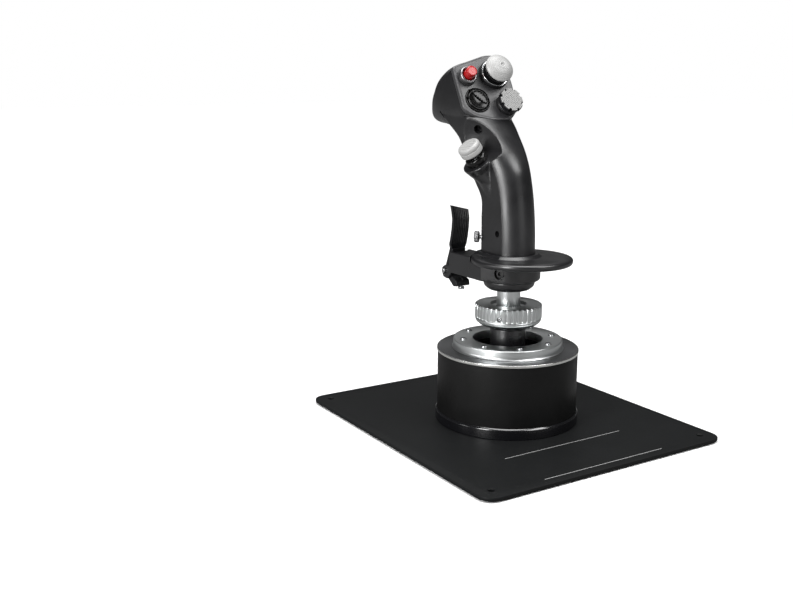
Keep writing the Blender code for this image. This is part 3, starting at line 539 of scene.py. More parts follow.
def make_plate():
    """The steel plate with rolled edges and countersunk corner holes, on its rubber feet."""
    (x0, y0, z0), (x1, y1, z1) = PLATE_LOW, PLATE_HIGH
    edge, corner = 0.0006, 0.014
    rows = []
    for inset, z in ((edge, z0), (edge * 0.3, z0 + edge * 0.3), (0, z0 + edge), (0, z1 - edge),
            (edge * 0.3, z1 - edge * 0.3), (edge, z1)):
        c = [(x0 + inset, y0 + inset), (x1 - inset, y0 + inset), (x1 - inset, y1 - inset),
            (x0 + inset, y1 - inset)]
        rows.append([(x, y, z) for x, y in rounded(c, [corner] * 4, 10)])
    plate = loft("plate_detail", rows)
    for sx in (-1, 1):
        for sy in (-1, 1):
            seat = at(sx * (x1 - 0.0135), sy * (y1 - 0.0135), 0)
            bore = [(0, z1 + 0.001), (0.004, z1 + 0.001), (0.0026, z1 - 0.0006),
                (0.0026, z0 - 0.001), (0, z0 - 0.001)]
            cut(plate, turned("corner_hole", bore, seat, 48))
    place(plate, POWDER, "base_plate")
    for node in ("foot_front_left", "foot_front_right", "foot_back_right", "foot_back_left"):
        low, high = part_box(node)
        middle, radius = (low + high) / 2, (high.x - low.x) / 2
        foot = turned(node + "_detail", [(0, high.z), (radius - 0.0004, high.z, 0.0002),
            (radius, low.z, 0.0004), (radius * 0.45, low.z), (radius * 0.42, low.z + 0.0003),
            (0, low.z + 0.0003)], at(*middle.xy, 0), 64)
        place(foot, RUBBER, node)


def make_base():
    """The round base with its band, gland, flange, ring and screws."""
    low = PLATE_HIGH.z + GAP
    lathe("base_band", BAND_BLACK, [(HOUSING_R + GAP, BAND_TOP),
        (BAND_R - 0.0012, BAND_TOP, 0.0003), (BAND_R, BAND_TOP - 0.0012, 0.0005),
        (BAND_R, low, 0.0003), (HOUSING_R + GAP, low)], closed=True, steps=192)
    inner = HOUSING_R - 0.003
    housing = turned("base_housing_detail", [(HOUSING_R, FLANGE_LOW - GAP, 0.0003),
        (HOUSING_R, low), (inner - 0.004, low), (inner - 0.004, low + 0.003), (inner, low + 0.003),
        (inner, FLANGE_LOW - GAP)], closed=True, steps=192)
    place(cut(housing, rod("gland_hole", 0.0051, -0.012, 0.006, GLAND)), TURNED, "base_housing")
    rings = [(0.0048, z, 0.0002) for z in (0.0006, -0.006)]
    lathe("cable_gland", RUBBER, mm([(0, 4.4), (2.2, 4.4, 0.2), (2.6, 6, 0.4), (4.4, 5.2, 0.6),
        (4.6, 2, 0.3), (7.8, 2, 0.6), (7.8, 0.6, 0.2)]) + rings + [(0, -0.006)], GLAND, 64)
    lip = FLANGE_R - 0.0009
    # The flange's face takes the darker copy of the aluminium (painted shade); its edge is polished aluminium.
    lathe("base_flange", FLANGE_SHADED_ALUMINIUM, [(lip - 5e-5, FLANGE_TOP, 0.0001), (lip - 5e-5, FLANGE_LOW),
        (0.0312, FLANGE_LOW), (0.0312, FLANGE_TOP)], closed=True, steps=192)
    edge = turned("base_flange_edge", [(lip, FLANGE_TOP), (FLANGE_R, FLANGE_TOP, 0.0004),
        (FLANGE_R, FLANGE_LOW, 0.0003), (lip, FLANGE_LOW)], closed=True, steps=192)
    place(edge, BRIGHT, "base_flange", hides=False)
    ring = turned("top_ring_detail", [(RING_R - 0.0002, RING_TOP, 0.0012),
        (RING_R, FLANGE_TOP + 0.0016, 0.0012), (RING_R + 0.001, FLANGE_TOP + GAP),
        (MOUTH_R, FLANGE_TOP + GAP), (MOUTH_R, RING_TOP, 0.0006)], closed=True, steps=192)
    screws = [f"ring_screw_{i}" for i in range(1, 9)]
    seats = [at(*middle_of(node).xy, 0) for node in screws]
    for node, seat in zip(screws, seats):
        cut(ring, rod("ring_hole", 0.0029, heights_of(node)[0] - GAP, RING_TOP + 0.002, seat, 48))
    place(ring, SILVER, "top_ring")
    for node, seat in zip(screws, seats):
        low, top = heights_of(node)
        screw = turned(node + "_detail", [(0, top), (0.0025, top, 0.0005), (0.0025, low), (0, low)],
            seat, 48)
        socket = prism("socket", hexagon(0.0013), top - 0.0016, top + 0.001, seat)
        place(cut(screw, socket), STEEL, node)


def hexagon(radius):
    """The outline of a hex socket."""
    return [(radius * c, radius * s) for c, s in circle(6)]


def make_hub():
    """The black boss that comes up through the opening, with its trunnions and tail."""
    top = heights_of("stick_hub")[1] - PIVOT.z
    neck = [(0, top), (0.015, top, 0.0012)]
    tail = mm([(15, 20, 1), (12, 15, 1), (12, -8, 0.5), (4, -8.2), (4, -25), (11, -25, 0.6),
        (11, -28, 0.6), (4.8, -28), (4.8, -33.5, 0.6), (0, -33.5)])
    hub = turned("stick_hub_detail", neck + tail, at(*PIVOT), 96)
    along = frame_at(PIVOT, (0, 1, 0))
    join(hub, rod("trunnions", 0.004, -0.0262, 0.0262, along, 48, 0.0004))
    place(hub, CAST_BLACK, "stick_hub")


# ---- nut and grip foot

NUT_FLUTES = 40
STEM_R = 0.0098
NUT_R = 0.0283
NUT_LOW, NUT_TOP = heights_of("lock_nut")
BEAD = 0.0062


def make_nut():
    """The fluted lock nut with its bead, recess and grub screw."""
    low, top = NUT_LOW, NUT_TOP

    def fluted(angle, radius, height):
        if radius < NUT_R - 0.0008 or height < low + BEAD:
            return radius
        turn = (angle * NUT_FLUTES / (2 * pi)) % 1.0
        groove = max(0.0, 1.0 - abs(turn - 0.5) / 0.19)
        rise = min(1.0, (height - low - BEAD) / 0.0008)
        return radius - 0.0008 * min(1.0, 1.6 * groove) * rise

    heights = [low + BEAD + 0.0001 + 0.0003 * k for k in range(5)]
    profile = [(0.0152, top, 0.0004), (NUT_R - 0.001, top, 0.0002), (NUT_R, top - 0.0008)]
    profile += [(NUT_R, top - 0.005), (NUT_R, low + 0.011)] + [(NUT_R, z)
        for z in reversed(heights)]
    profile += [(NUT_R - 0.001, low + BEAD - 0.0004, 0.0003),
        (NUT_R - 0.0004, low + BEAD - 0.0012, 0.0004), (NUT_R - 0.0008, low + 0.003, 0.0012),
        (NUT_R - 0.0044, low, 0.001), (0.0168, low, 0.0003), (0.0168, low + 0.005),
        (STEM_R + 0.0006, low + 0.005), (STEM_R + 0.0006, top - 0.0024), (0.0142, top - 0.0024)]
    nut = turned("lock_nut_detail", profile, None, NUT_FLUTES * 12, True, fluted)
    bore = bore_of("nut_grub_screw")
    cut(triangulate(nut), rod("grub_hole", 0.0019, NUT_R - 0.013, NUT_R + 0.004, bore, 32))
    place(nut, SILVER, "lock_nut")
    grub = rod("nut_grub_screw_detail", 0.0015, NUT_R - 0.012, NUT_R - 0.0012, bore, 32, 0.0002)
    cut(grub, prism("grub_socket", hexagon(0.0008), NUT_R - 0.003, NUT_R, bore))
    place(grub, STEEL, "nut_grub_screw")


COLLAR_LOW, COLLAR_TOP = heights_of("grip_collar")
COLLAR_R = 0.0215
FOOT_R = 0.026
FOOT_LOW = COLLAR_TOP + GAP
REST_LOW, REST_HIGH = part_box("hand_rest")
REST_UNDER = REST_LOW.z
REST_TOP = REST_HIGH.z - 0.0022
REST_R = (REST_HIGH.x - REST_LOW.x) / 2
REST_CENTRE = (REST_LOW + REST_HIGH) / 2
FOOT_TOP = REST_UNDER - GAP
ARM_LEFT, ARM_RIGHT, ARM_FRONT = -0.027, -0.005, 0.0462
CHEEK_FRONT = 0.0498
FACET = ((-0.0196, -0.017), (-0.027, 0.0038))
ARM_TOP = heights_of("grip_footing")[1]
SIDEWAYS = Matrix(((0, 0, 1, 0), (1, 0, 0, 0), (0, 1, 0, 0), (0, 0, 0, 1)))


def make_footing():
    """Stem, collar and the cast footing with the paddle arm."""
    low, high = heights_of("grip_stem")
    lathe("grip_stem", SILVER, [(STEM_R, high, 0.0004), (STEM_R, low, 0.0004), (0.006, low),
        (0.006, high)], None, 96, True)
    lathe("grip_collar", CAST_BLACK, [(COLLAR_R, COLLAR_TOP, 0.0005), (COLLAR_R + 0.0003,
        COLLAR_TOP - 0.0012, 0.0006), (COLLAR_R - 0.0006, COLLAR_LOW + 0.003, 0.001),
        (COLLAR_R - 0.0042, COLLAR_LOW, 0.0008), (STEM_R + GAP, COLLAR_LOW),
        (STEM_R + GAP, COLLAR_TOP)], None, 128, True)
    footing = turned("grip_footing_detail", [(0, FOOT_TOP), (FOOT_R, FOOT_TOP),
        (FOOT_R, FOOT_LOW, 0.0022), (0, FOOT_LOW)], None, 96)
    outline = [FACET[0], (-0.005, -0.017), (ARM_RIGHT, ARM_FRONT), (ARM_LEFT, ARM_FRONT), FACET[1]]
    join(footing, prism("arm_low", outline, FOOT_LOW, FOOT_TOP))
    lip = block("arm_lip", (ARM_LEFT, 0.012, FOOT_TOP - 0.004), (ARM_RIGHT, ARM_FRONT, ARM_TOP))
    cut(lip, rod("rest_clear", REST_R + 0.0009, FOOT_TOP - 0.0001, 0.15,
        at(REST_CENTRE.x, REST_CENTRE.y, 0), 96))
    join(footing, lip)
    y, z = PADDLE_PIN.y, PADDLE_PIN.z
    for x0 in (ARM_LEFT, ARM_RIGHT - 0.003):
        side = [(ARM_FRONT - 0.003, 0.129), (y - 0.003, z - 0.0066), (y + 0.0026, z - 0.0058),
            (y + 0.005, z - 0.002), (y + 0.0048, z + 0.0026), (y + 0.001, z + 0.005),
            (CHEEK_FRONT, z + 0.006), (CHEEK_FRONT, ARM_TOP), (ARM_FRONT - 0.003, ARM_TOP)]
        join(footing, prism("cheek", side, x0, x0 + 0.003, SIDEWAYS))
    cast(footing, 0.0004, 5)
    beyond = [FACET[0], FACET[1], (-0.0458, -0.0029), (-0.0384, -0.0237)]
    cut(footing, prism("facet", beyond, FOOT_LOW + 0.0016, FOOT_TOP + 0.001))
    cut(footing, block("top_trim", (-0.06, -0.06, FOOT_TOP - 0.0001), (0.06, 0.0121, 0.16)),
        rod("paddle_hole", 0.0024, -0.03, 0.03, ACROSS_PADDLE, 32), rod("stem_hole", STEM_R + GAP,
        0.12, 0.1325, None, 64))
    hole = bore_of("footing_screw")
    cut(footing, turned("side_hole", [(0, 0.031), (0.0049, 0.031), (0.0049, FOOT_R - 0.0006),
        (0.0046, FOOT_R - 0.001), (0.0046, FOOT_R - 0.008), (0, FOOT_R - 0.008)], hole, 48))
    place(footing, CAST_BLACK, "grip_footing")
    screw = rod("footing_screw_detail", 0.0036, FOOT_R - 0.0076, FOOT_R - 0.0036, hole, 48, 0.0005)
    cut(screw, prism("footing_socket", hexagon(0.002), FOOT_R - 0.006, FOOT_R, hole))
    place(screw, MOULDED, "footing_screw")


def make_hand_rest():
    """The offset disc with its rolled rim and the soft step at the handle's foot."""
    c = REST_CENTRE
    rest = turned("hand_rest_detail", [(0, REST_TOP - 0.0004), (REST_R * 0.7, REST_TOP - 0.0004),
        (REST_R - 0.005, REST_TOP, 0.004), (REST_R, REST_TOP - 0.0008, 0.0024),
        (REST_R - 0.0006, REST_UNDER, 0.0024), (0, REST_UNDER)], at(c.x, c.y, 0), 160)
    rest.data.transform(rest.matrix_world)
    rest.matrix_world = Matrix.Identity(4)
    rows = []
    for z, grow in ((REST_TOP - 0.002, -0.0062), (REST_TOP + 0.0002, -0.005),
            (REST_TOP + 0.0014, -0.0038), (REST_HIGH.z, -0.003)):
        rows.append(handle_section(0.15, grow, z))
    join(rest, loft("foot_step", rows))
    cast(rest, 0.00045, 4)
    cut(rest, block("under_trim", (-0.1, -0.1, 0.1), (0.1, 0.1, REST_UNDER)),
        handle_solid("foot_clear", -0.0004, REST_TOP + 0.0003, 0.16, 6),
        rod("wire_hole", 0.005, 0.13, 0.155, None, 48))
    place(rest, CAST_BLACK, "hand_rest")


# ---- paddle

def make_paddle():
    """The curved pull paddle, ribbed on its inner face, with its lug and stop screw."""
    pin = PADDLE_PIN
    heights = np.array([140, 144.8, 149, 156, 164, 172, 178, 182, 185]) * MM
    backs = np.array([51.2, 51.2, 50.5, 48.7, 47.2, 46.7, 48, 49.4, 50.8]) * MM
    widths = np.array([6.4, 6.6, 8.2, 8.1, 8, 8, 8, 8, 8]) * MM
    levels = np.linspace(heights[0], heights[-1], 48)
    ribs, thick = 9, 0.0028
    rows = []
    for z in levels:
        back = float(np.interp(z, heights, backs))
        w = float(np.interp(z, heights, widths))
        ribbed = 1.0 if 0.15 < z < 0.1846 else 0.0
        row = []
        count = ribs * 6
        for k in range(count + 1):
            t = -1 + 2 * k / count
            dish = 0.001 * (1 - t * t)
            wave = 0.00032 * ribbed * (cos(pi * 2 * ribs * (t + 1) / 2) > 0)
            row.append((w * t, back - pin.y - 0.0006 + dish + wave * (abs(t) < 0.94), z - pin.z))
        for k in range(13):
            t = 1 - 2 * k / 12
            row.append((w * t * 0.985, back + thick + 0.0008 * (1 - t * t) - pin.y, z - pin.z))
        rows.append(row)
    here = at(pin.x - 0.0008, pin.y, pin.z)
    paddle = triangulate(loft("paddle_detail", rows, here))
    outline = mm([(-6.2, 20), (-5.5, 6), (-4.5, -4), (-12.5, -7.4), (-13.3, -12.2), (-8, -13),
        (1, -6.2), (4.2, -3), (4.2, 4), (-2, 20.5)])
    web = bevel(prism("paddle_web", outline, -0.007, 0.0072, here @ SIDEWAYS), 0.0007)
    join(paddle, web)
    slope = mm([(-32, 185.1), (0, 177.1), (0, 190), (-32, 190)])
    cut(paddle, rod("paddle_eye", 0.0024, -0.03, 0.03, ACROSS_PADDLE, 32), prism("paddle_slope",
        slope, -0.08, -0.03, frame_at((0, 0, 0), (0, -1, 0))))
    upright = at(pin.x - 0.0008, pin.y - 0.0104, pin.z - 0.0098)
    cut(paddle, rod("stop_hole", 0.0017, -0.006, 0.006, upright, 32))
    place(paddle, MOULDED, "paddle", angle=28)
    screw = turned("paddle_stop_screw_detail", mm([(0, 2.6), (1.3, 2.6, 0.3), (1.3, -3.4),
        (2.8, -3.6, 0.3), (2.8, -5.6, 0.6), (0, -5.6)]), upright, 48)
    place(screw, STEEL, "paddle_stop_screw")
    place(rod("paddle_pin_detail", 0.002, -0.0134, 0.013, ACROSS_PADDLE, 48, 0.0005), STEEL,
        "paddle_pin")


# ---- grip

# height, centre Y, half width right, half width left, reach forward, reach back (mm)
HANDLE = np.array((
    (145.9, 0.0, 20.9, 16.0, 23.0, 20.9),
    (160.0, 0.2, 20.9, 16.0, 22.8, 20.9),
    (175.0, 1.2, 20.9, 16.0, 21.9, 20.8),
    (192.0, 3.2, 20.8, 16.0, 20.4, 20.6),
    (204.0, 6.6, 21.0, 16.4, 26.0, 21.6),
    (217.0, 12.0, 21.5, 17.6, 31.5, 23.3),
    (230.0, 19.0, 23.0, 19.0, 29.5, 22.2),
    (241.0, 27.0, 24.6, 20.6, 26.5, 19.5),
    (250.0, 34.0, 25.6, 22.0, 32.0, 17.5),
    (259.0, 42.0, 26.0, 22.6, 40.0, 15.0),
))
HANDLE_BOTTOM = heights_of("grip_right")[0]
BACK_FULLNESS = 0.88
WALL = 0.0032
PLATE_THICK = 0.004
HANDLE_TOP = 0.259
GRIP_VOXEL = 0.00055
GRIP_SMOOTHING = 14


def smooth_values(z):
    """Handle measures in mm at a height, by a smooth curve through the table."""
    zs = HANDLE[:, 0]
    k = int(np.clip(np.searchsorted(zs, z) - 1, 0, len(zs) - 2))
    t = (z - zs[k]) / (zs[k + 1] - zs[k])
    before, after = max(k - 1, 0), min(k + 2, len(zs) - 1)
    a, b = HANDLE[k, 1:], HANDLE[k + 1, 1:]
    span = zs[k + 1] - zs[k]
    ma = (b - HANDLE[before, 1:]) / (zs[k + 1] - zs[before]) * span
    mb = (HANDLE[after, 1:] - a) / (zs[after] - zs[k]) * span
    return blend(a, b, ma, mb, t)


def handle_section(z, inset, level, fine=4):
    """One level outline of the handle: flat left flank, round back, fuller front."""
    cy, right, left, front, back = smooth_values(z / MM)
    grow = inset / MM
    right, left, front, back = right - grow, left - grow, front - grow, back - grow
    ratio = min(left / right, 0.999)
    out = []
    clip = acos(ratio ** 1.5)
    steps = [pi / 2 * k / (5 * fine) for k in range(5 * fine + 1)]
    steps += [pi / 2 + (pi / 2 - clip) * k / (3 * fine) for k in range(1, 3 * fine + 1)]
    for a in steps:
        c, s = cos(a), sin(a)
        out.append((right * copysign(abs(c) ** (2 / 3), c), cy + front * abs(s) ** (2 / 3)))
    y1 = out[-1][1]
    y2 = cy - back * sqrt(1 - BACK_FULLNESS * BACK_FULLNESS)
    out[-1] = (-left, y1)
    out += [(-left, y1 + (y2 - y1) * k / (3 * fine)) for k in range(1, 3 * fine + 1)]
    start = acos(BACK_FULLNESS)
    for k in range(1, 4 * fine + 1):
        a = start + (pi / 2 - start) * k / (4 * fine)
        out.append((-left / BACK_FULLNESS * cos(a), cy - back * sin(a)))
    for k in range(1, 5 * fine):
        a = pi / 2 * k / (5 * fine)
        out.append((right * sin(a), cy - back * cos(a)))
    return [(x * MM, y * MM, level) for x, y in out]


def handle_solid(name, inset, low, high, levels=48):
    """The handle's skin between two heights, inset, or grown if inset is negative."""
    return triangulate(loft(name,
        [handle_section(z, inset, z) for z in np.linspace(low, high, levels)]))


FACE_CORNERS = [(27.6, -24.5), (29.2, 2.0), (25.5, 27.6), (9.0, 27.6), (-25.0, 16.6),
    (-24.6, -22.8), (-16.0, -30.0), (2.0, -34.2), (19.0, -33.4)]
FACE_RADII = [5.0, 6.0, 7.0, 4.0, 3.0, 5.0, 5.0, 6.0, 5.0]
FACE_CENTRE = (1.5, -2.5)

# how square the head's sections are, and its sections: Y, centre X, half width, top, bottom (mm)
# and the slope of the top
HEAD_SQUARE = 3.2
HEAD = (
    (70.0, 1.5, 25.4, 303.0, 249.0, 0.24),
    (80.0, 1.6, 23.8, 297.0, 250.0, 0.22),
    (88.0, 2.0, 21.2, 288.0, 250.4, 0.18),
    (94.0, 2.2, 18.6, 281.0, 251.2, 0.14),
    (98.5, 2.5, 15.2, 275.0, 253.2, 0.08),
    (101.0, 2.5, 9.5, 270.0, 257.0, 0.0),
)


def polar(outline, centre, count):
    """Resample a convex outline at even angles about a centre."""
    pts = np.array(outline, float) - np.array(centre)
    ahead = np.roll(pts, -1, axis=0) - pts
    out = []
    for d in circle(count):
        det = -d[0] * ahead[:, 1] + ahead[:, 0] * d[1]
        det = np.where(abs(det) < 1e-12, 1e-12, det)
        t = (-pts[:, 0] * ahead[:, 1] + ahead[:, 0] * pts[:, 1]) / det
        s = (d[0] * pts[:, 1] - d[1] * pts[:, 0]) / det
        reach = t[(s >= -1e-9) & (s <= 1 + 1e-9)].max()
        out.append((centre[0] + d[0] * reach, centre[1] + d[1] * reach))
    return out


def head_sections(inset, start, count):
    """Sections from a depth (mm) behind the face to the nose."""
    cu, cv = FACE_CENTRE
    ring = polar(rounded(FACE_CORNERS, FACE_RADII, 6), FACE_CENTRE, count)
    rows = []
    for depth, extra in ((start, 0.0), (9.0, -0.2)):
        row = []
        for u, v in ring:
            length = hypot(u - cu, v - cv)
            k = (length - inset - extra) / length
            p = Vector(((cu + (u - cu) * k) * MM, (cv + (v - cv) * k) * MM, -depth * MM))
            row.append(tuple(FACE @ p))
        rows.append(row)
    for y, cx, half, top, bottom, slope in HEAD:
        half, top, bottom = half - inset, top - inset, bottom + inset
        mid, tall = (top + bottom) / 2, (top - bottom) / 2
        if half < 1.0 or tall < 1.0:
            continue
        row = []
        for c, s in circle(count):
            power = (abs(c) ** HEAD_SQUARE + abs(s) ** HEAD_SQUARE) ** (-1 / HEAD_SQUARE)
            x = half * c * power
            z = mid + tall * s * power + slope * x * max(0.0, s * power)
            row.append(((cx + x) * MM, (y - inset) * MM, z * MM))
        rows.append(row)
    return rows


def refine(rows, steps):
    """Add rows by a smooth curve along the sections, spaced by their distance apart."""
    data = np.array(rows)
    out = []
    last = len(data) - 1
    hops = np.linalg.norm(np.diff(data.mean(axis=1), axis=0), axis=1)
    for k in range(last):
        a, b = data[k], data[k + 1]
        ma = (b - data[k - 1]) * hops[k] / (hops[k] + hops[k - 1]) if k else b - a
        mb = (data[k + 2] - a) * hops[k] / (hops[k] + hops[k + 1]) if k + 2 <= last else b - a
        out += [blend(a, b, ma, mb, i / steps) for i in range(steps)]
    out.append(data[last])
    return [[tuple(p) for p in row] for row in out]


def shelf_bulge():
    """The tapered bulge under the side hat, from the shelf down to the flank."""
    rows = []
    for depth, radius, shift in ((-0.0006, 0.0134, 0.0), (0.001, 0.0139, 0.0),
            (0.006, 0.013, 0.001)):
        row = []
        for c, s in circle(48):
            p = SIDE @ Vector((radius * c, radius * s, -depth))
            row.append((p.x + shift, p.y, p.z))
        rows.append(row)
    for z, cx, cy, rx, ry in ((0.205, -0.013, 0.015, 0.006, 0.0105),
            (0.193, -0.0115, 0.008, 0.004, 0.007)):
        row = []
        for c, s in circle(48):
            d = SIDE.to_3x3() @ Vector((c, s, 0))
            flat = Vector((d.x, d.y, 0)).normalized()
            row.append((cx + rx * flat.x, cy + ry * flat.y, z))
        rows.append(row)
    return triangulate(loft("shelf_bulge", list(reversed(rows))))


SCOOP_CENTRE = (-0.044, 0.012, 0.237)
SCOOP_R = 0.036


def thumb_scoop():
    """The hollow around the side hat: a ball, cut off level with the shelf."""
    arc = [pi * k / 32 for k in range(33)]
    ball = turned("thumb_scoop",
        [(SCOOP_R * sin(a), SCOOP_R * cos(a)) for a in arc[:-1]] + [(0, -SCOOP_R)],
        at(*SCOOP_CENTRE), 72)
    return cut(ball, block("scoop_floor", (-0.08, -0.08, -0.08), (0.08, 0.08, 0.0), SIDE))


def face_outline(scale):
    """The face plate's rim in metres, scaled about its centre."""
    cu, cv = FACE_CENTRE
    return [((cu + (u - cu) * scale) * MM, (cv + (v - cv) * scale) * MM) for u,
        v in rounded(FACE_CORNERS, FACE_RADII, 8)]


def make_grip():
    """The cast grip: both half shells under one coat, so that no seam shows."""
    body = handle_solid("grip_body", 0.0, HANDLE_BOTTOM, HANDLE_TOP, 64)
    join(body, triangulate(loft("head", refine(head_sections(0.0, 3.0, 72), 4))), shelf_bulge())
    cut(body, thumb_scoop())
    cast(body, GRIP_VOXEL, GRIP_SMOOTHING)
    cut(body, block("foot_trim", (-0.1, -0.1, 0.1), (0.1, 0.1, HANDLE_BOTTOM)),
        prism("face_seat", face_outline(1.0 + GAP / 0.028), -(PLATE_THICK + GAP), 0.06, FACE),
        handle_solid("handle_hollow", WALL, 0.15, 0.1915, 8), triangulate(loft("head_hollow",
        head_sections(4.2, 2.0, 28)[:4])), block("trigger_slot", (-0.0068, 0.05, 0.23),
        (0.0068, 0.072, 0.256)), rod("trigger_hole", 0.0021, -0.011, 0.011, ACROSS_TRIGGER, 32))
    body.name = "grip_detail"
    for node, axis, radius, reach in (("grip_screw_upper", (-0.83, -0.45, -0.32), 0.0038, 0.0058),
            ("grip_screw_lower", (-1, 0, 0), 0.0027, 0.005)):
        well = frame_at(middle_of(node), axis, (0, 1, 0))
        cut(body, rod("well", radius, -0.0022, 0.02, well, 48))
        screw = rod(node + "_detail", radius - 0.0004, -0.0016, 0.0016, well, 48, 0.0004)
        cut(screw, prism("well_socket", hexagon(radius * 0.5), 0.0002, reach, well))
        place(screw, MOULDED, node)
    cut(body, rod("mode_hole", 0.0034, -0.008, 0.01, MODE, 48))
    nose = frame_at((-0.0241, 0.07, 0.2588), (-1, 0.15, -0.1), (0, -0.75, -0.66))
    cut(body, block("nose_slot", (-0.0042, -0.0008, -0.0045), (0.0042, 0.0008, 0.006), nose))
    place(body, GRIP_BLACK, "grip_left")
    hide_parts("grip_right")


def make_face():
    """The sloping face plate with its rolled rim and four bores."""
    rim = ((-PLATE_THICK, 0.996), (-PLATE_THICK + 0.0002, 1.0), (-0.0016, 1.0), (-0.001, 0.9965),
        (-0.0005, 0.988), (-0.0002, 0.976), (0.0, 0.955), (-0.0002, 0.935), (-0.0003, 0.9))
    rows = [[(x, y, depth) for x, y in face_outline(scale)] for depth, scale in rim]
    plate = triangulate(loft("face_plate_detail", rows, FACE))
    for seat, radius in ((TRIM, 0.006), (RED, 0.0056), (DISH, 0.0115), (GEAR, 0.006)):
        cut(plate, rod("face_hole", radius, -0.01, 0.01, seat, 64))
    place(plate, FACE_BLACK, "face_plate", angle=40)


# ---- thumb controls

def grooves(name, count, pitch, length, width, low, high, seat):
    """Parallel bars that cut grooves along local X."""
    bars = []
    for i in range(count):
        y = (i - (count - 1) / 2) * pitch
        bars.append(block(name, (-length, y - width, low), (length, y + width, high), seat))
    return bars


def make_trim_hat():
    """Large pale dome with fine steps and a dimple, in a collar with a bright lip."""
    lathe("trim_collar", MOULDED, mm([(12.4, 4, 0.2), (13.2, 3, 0.6), (13.2, GAP_MM, 0.2),
        (5.6, GAP_MM), (5.6, -5), (4.8, -5), (4.8, 2), (10.4, 2.8), (10.8, 4)]), TRIM, 128, True)
    lip = turned("trim_collar_lip", mm([(12.2, 4.4, 0.2), (12.4, 4.1), (11, 4.1),
        (10.9, 4.4, 0.2)]), TRIM, 128, True)
    place(lip, CHROME, "trim_collar", hides=False)
    dome = mm([(0, 17.4), (1.3, 17.4, 0.2), (1.7, 18.3, 0.3)])
    radius, fall, steps = 0.0122, 0.0052, 9
    for k in range(1, steps):
        t = k / steps
        r = 0.0017 + (radius - 0.0017) * t
        z = 0.0183 - fall * t ** 2.3
        dome += [(r, z, 0.0001), (r + 0.0001, z - 0.00028, 0.0001)]
    dome += mm([(12.4, 12.8, 0.3), (12.6, 11.7, 0.3), (11.2, 11, 0.2), (0, 11)])
    lathe("trim_cap", WHITE, dome, TRIM, 128, angle=60)
    skirt = turned("trim_cap_skirt", mm([(0, 10.8), (11.2, 10.8, 0.2), (11, 9, 0.4),
        (10.4, 6.4, 0.4), (2.4, 6), (2.4, -3), (0, -3)]), TRIM, 96)
    place(skirt, MOULDED, "trim_cap", hides=False)


def make_dish_hat():
    """Glossy dished hat with a ribbed raised half, in a cup in the face."""
    lathe("dish_cup", GLOSS, mm([(10.6, 1, 0.3), (11.2, 0.6, 0.3), (11.2, -6.2), (4.8, -6.2),
        (4.8, -5), (10.3, -5), (10.3, 0.6, 0.2)]), DISH, 128, True)
    cap = turned("dish_cap_detail", mm([(0, -0.2), (4, 0, 2), (7.5, 0.8, 1), (8.6, 1.6, 0.5),
        (9.4, 1, 0.5), (9.6, -0.4, 0.4), (9.2, -1.8, 0.3), (2.4, -2.2), (2.4, -8.5), (0, -8.5)]),
        DISH, 96)
    leaned = DISH @ Matrix.Rotation(radians(45), 4, "Z")
    half = block("ridge", (0.0016, -0.0076, -0.0012), (0.0078, 0.0076, 0.0016), leaned)
    combine(half, [rod("ridge_round", 0.0084, -0.002, 0.004, leaned, 64)], "INTERSECT")
    bevel(half, 0.0003, 2)
    cut(half, *grooves("ridge_line", 5, 0.0022, 0.02, 0.0003, 0.0009, 0.003, leaned))
    place(join(cap, half), GLOSS, "dish_cap")


def make_gear_hat():
    """Castellated hat with a cross-hatched light pad on a ribbed black skirt."""
    def ribbed(angle, radius, height):
        return radius - (0.00025 if radius > 0.0088
            and (angle * 40 / (2 * pi)) % 1.0 > 0.5 else 0.0)

    lathe("gear_collar", MOULDED, mm([(8.2, 4, 0.2), (9.2, 3), (9.6, 1.6), (9.6, GAP_MM),
        (5.6, GAP_MM), (5.6, -5), (4.8, -5), (4.8, 2), (7, 3), (7.2, 4)]), GEAR, 160, True, ribbed)
    cap = turned("gear_cap_detail", mm([(0, 9.5), (10.8, 9.5, 0.4), (10.8, 6.2, 0.6), (10, 6, 0.3),
        (2.4, 5.6), (2.4, -3), (0, -3)]), GEAR, 128)
    pad = rod("gear_pad_detail", 0.0102, 0.0098, 0.0106, GEAR, 128, 0.0002)
    for i in range(8):
        notch = GEAR @ Matrix.Rotation(radians(22.5 + 45.0 * i), 4, "Z") @ at(0.011, 0, 0)
        for piece in (cap, pad):
            cut(piece, block("notch", (-0.0022, -0.0013, 0.0058), (0.003, 0.0013, 0.012), notch))
    for turn in (45, 135):
        crossed = GEAR @ Matrix.Rotation(radians(turn), 4, "Z")
        cut(pad, *grooves("hatch", 11, 0.0017, 0.015, 0.00028, 0.01015, 0.012, crossed))
    place(cap, MOULDED, "gear_cap")
    place(pad, GREY, "gear_pad")


def make_side_hat():
    """Pale side hat with a hatched top and a waist groove, on a glossy black collar."""
    lathe("side_collar", GLOSS, mm([(7.8, 5.6, 0.4), (8.8, 5, 0.8), (9.4, 3.6, 0.8),
        (9.4, GAP_MM, 0.2), (4.8, GAP_MM), (4.8, 3), (6.6, 4.2), (6.6, 5.6, 0.3)]), SIDE, 128, True)
    cap = turned("side_cap_detail", mm([(0, 17.6), (7.6, 17.6, 0.3), (9, 16.8, 0.4),
        (9.6, 15.6, 0.5), (9.6, 13.8, 0.2), (9.2, 13.6, 0.1), (9.2, 13.1, 0.1), (9.6, 12.9, 0.2),
        (9.6, 9.2, 0.6), (8.6, 8.4, 0.3), (2.8, 8.4), (2.8, 14.6), (0, 14.6)]), SIDE, 128)
    for turn in (0, 90):
        crossed = SIDE @ Matrix.Rotation(radians(turn), 4, "Z")
        cut(cap, *grooves("side_line", 7, 0.002, 0.015, 0.00022, 0.0173, 0.019, crossed))
    place(cap, WHITE, "side_cap")


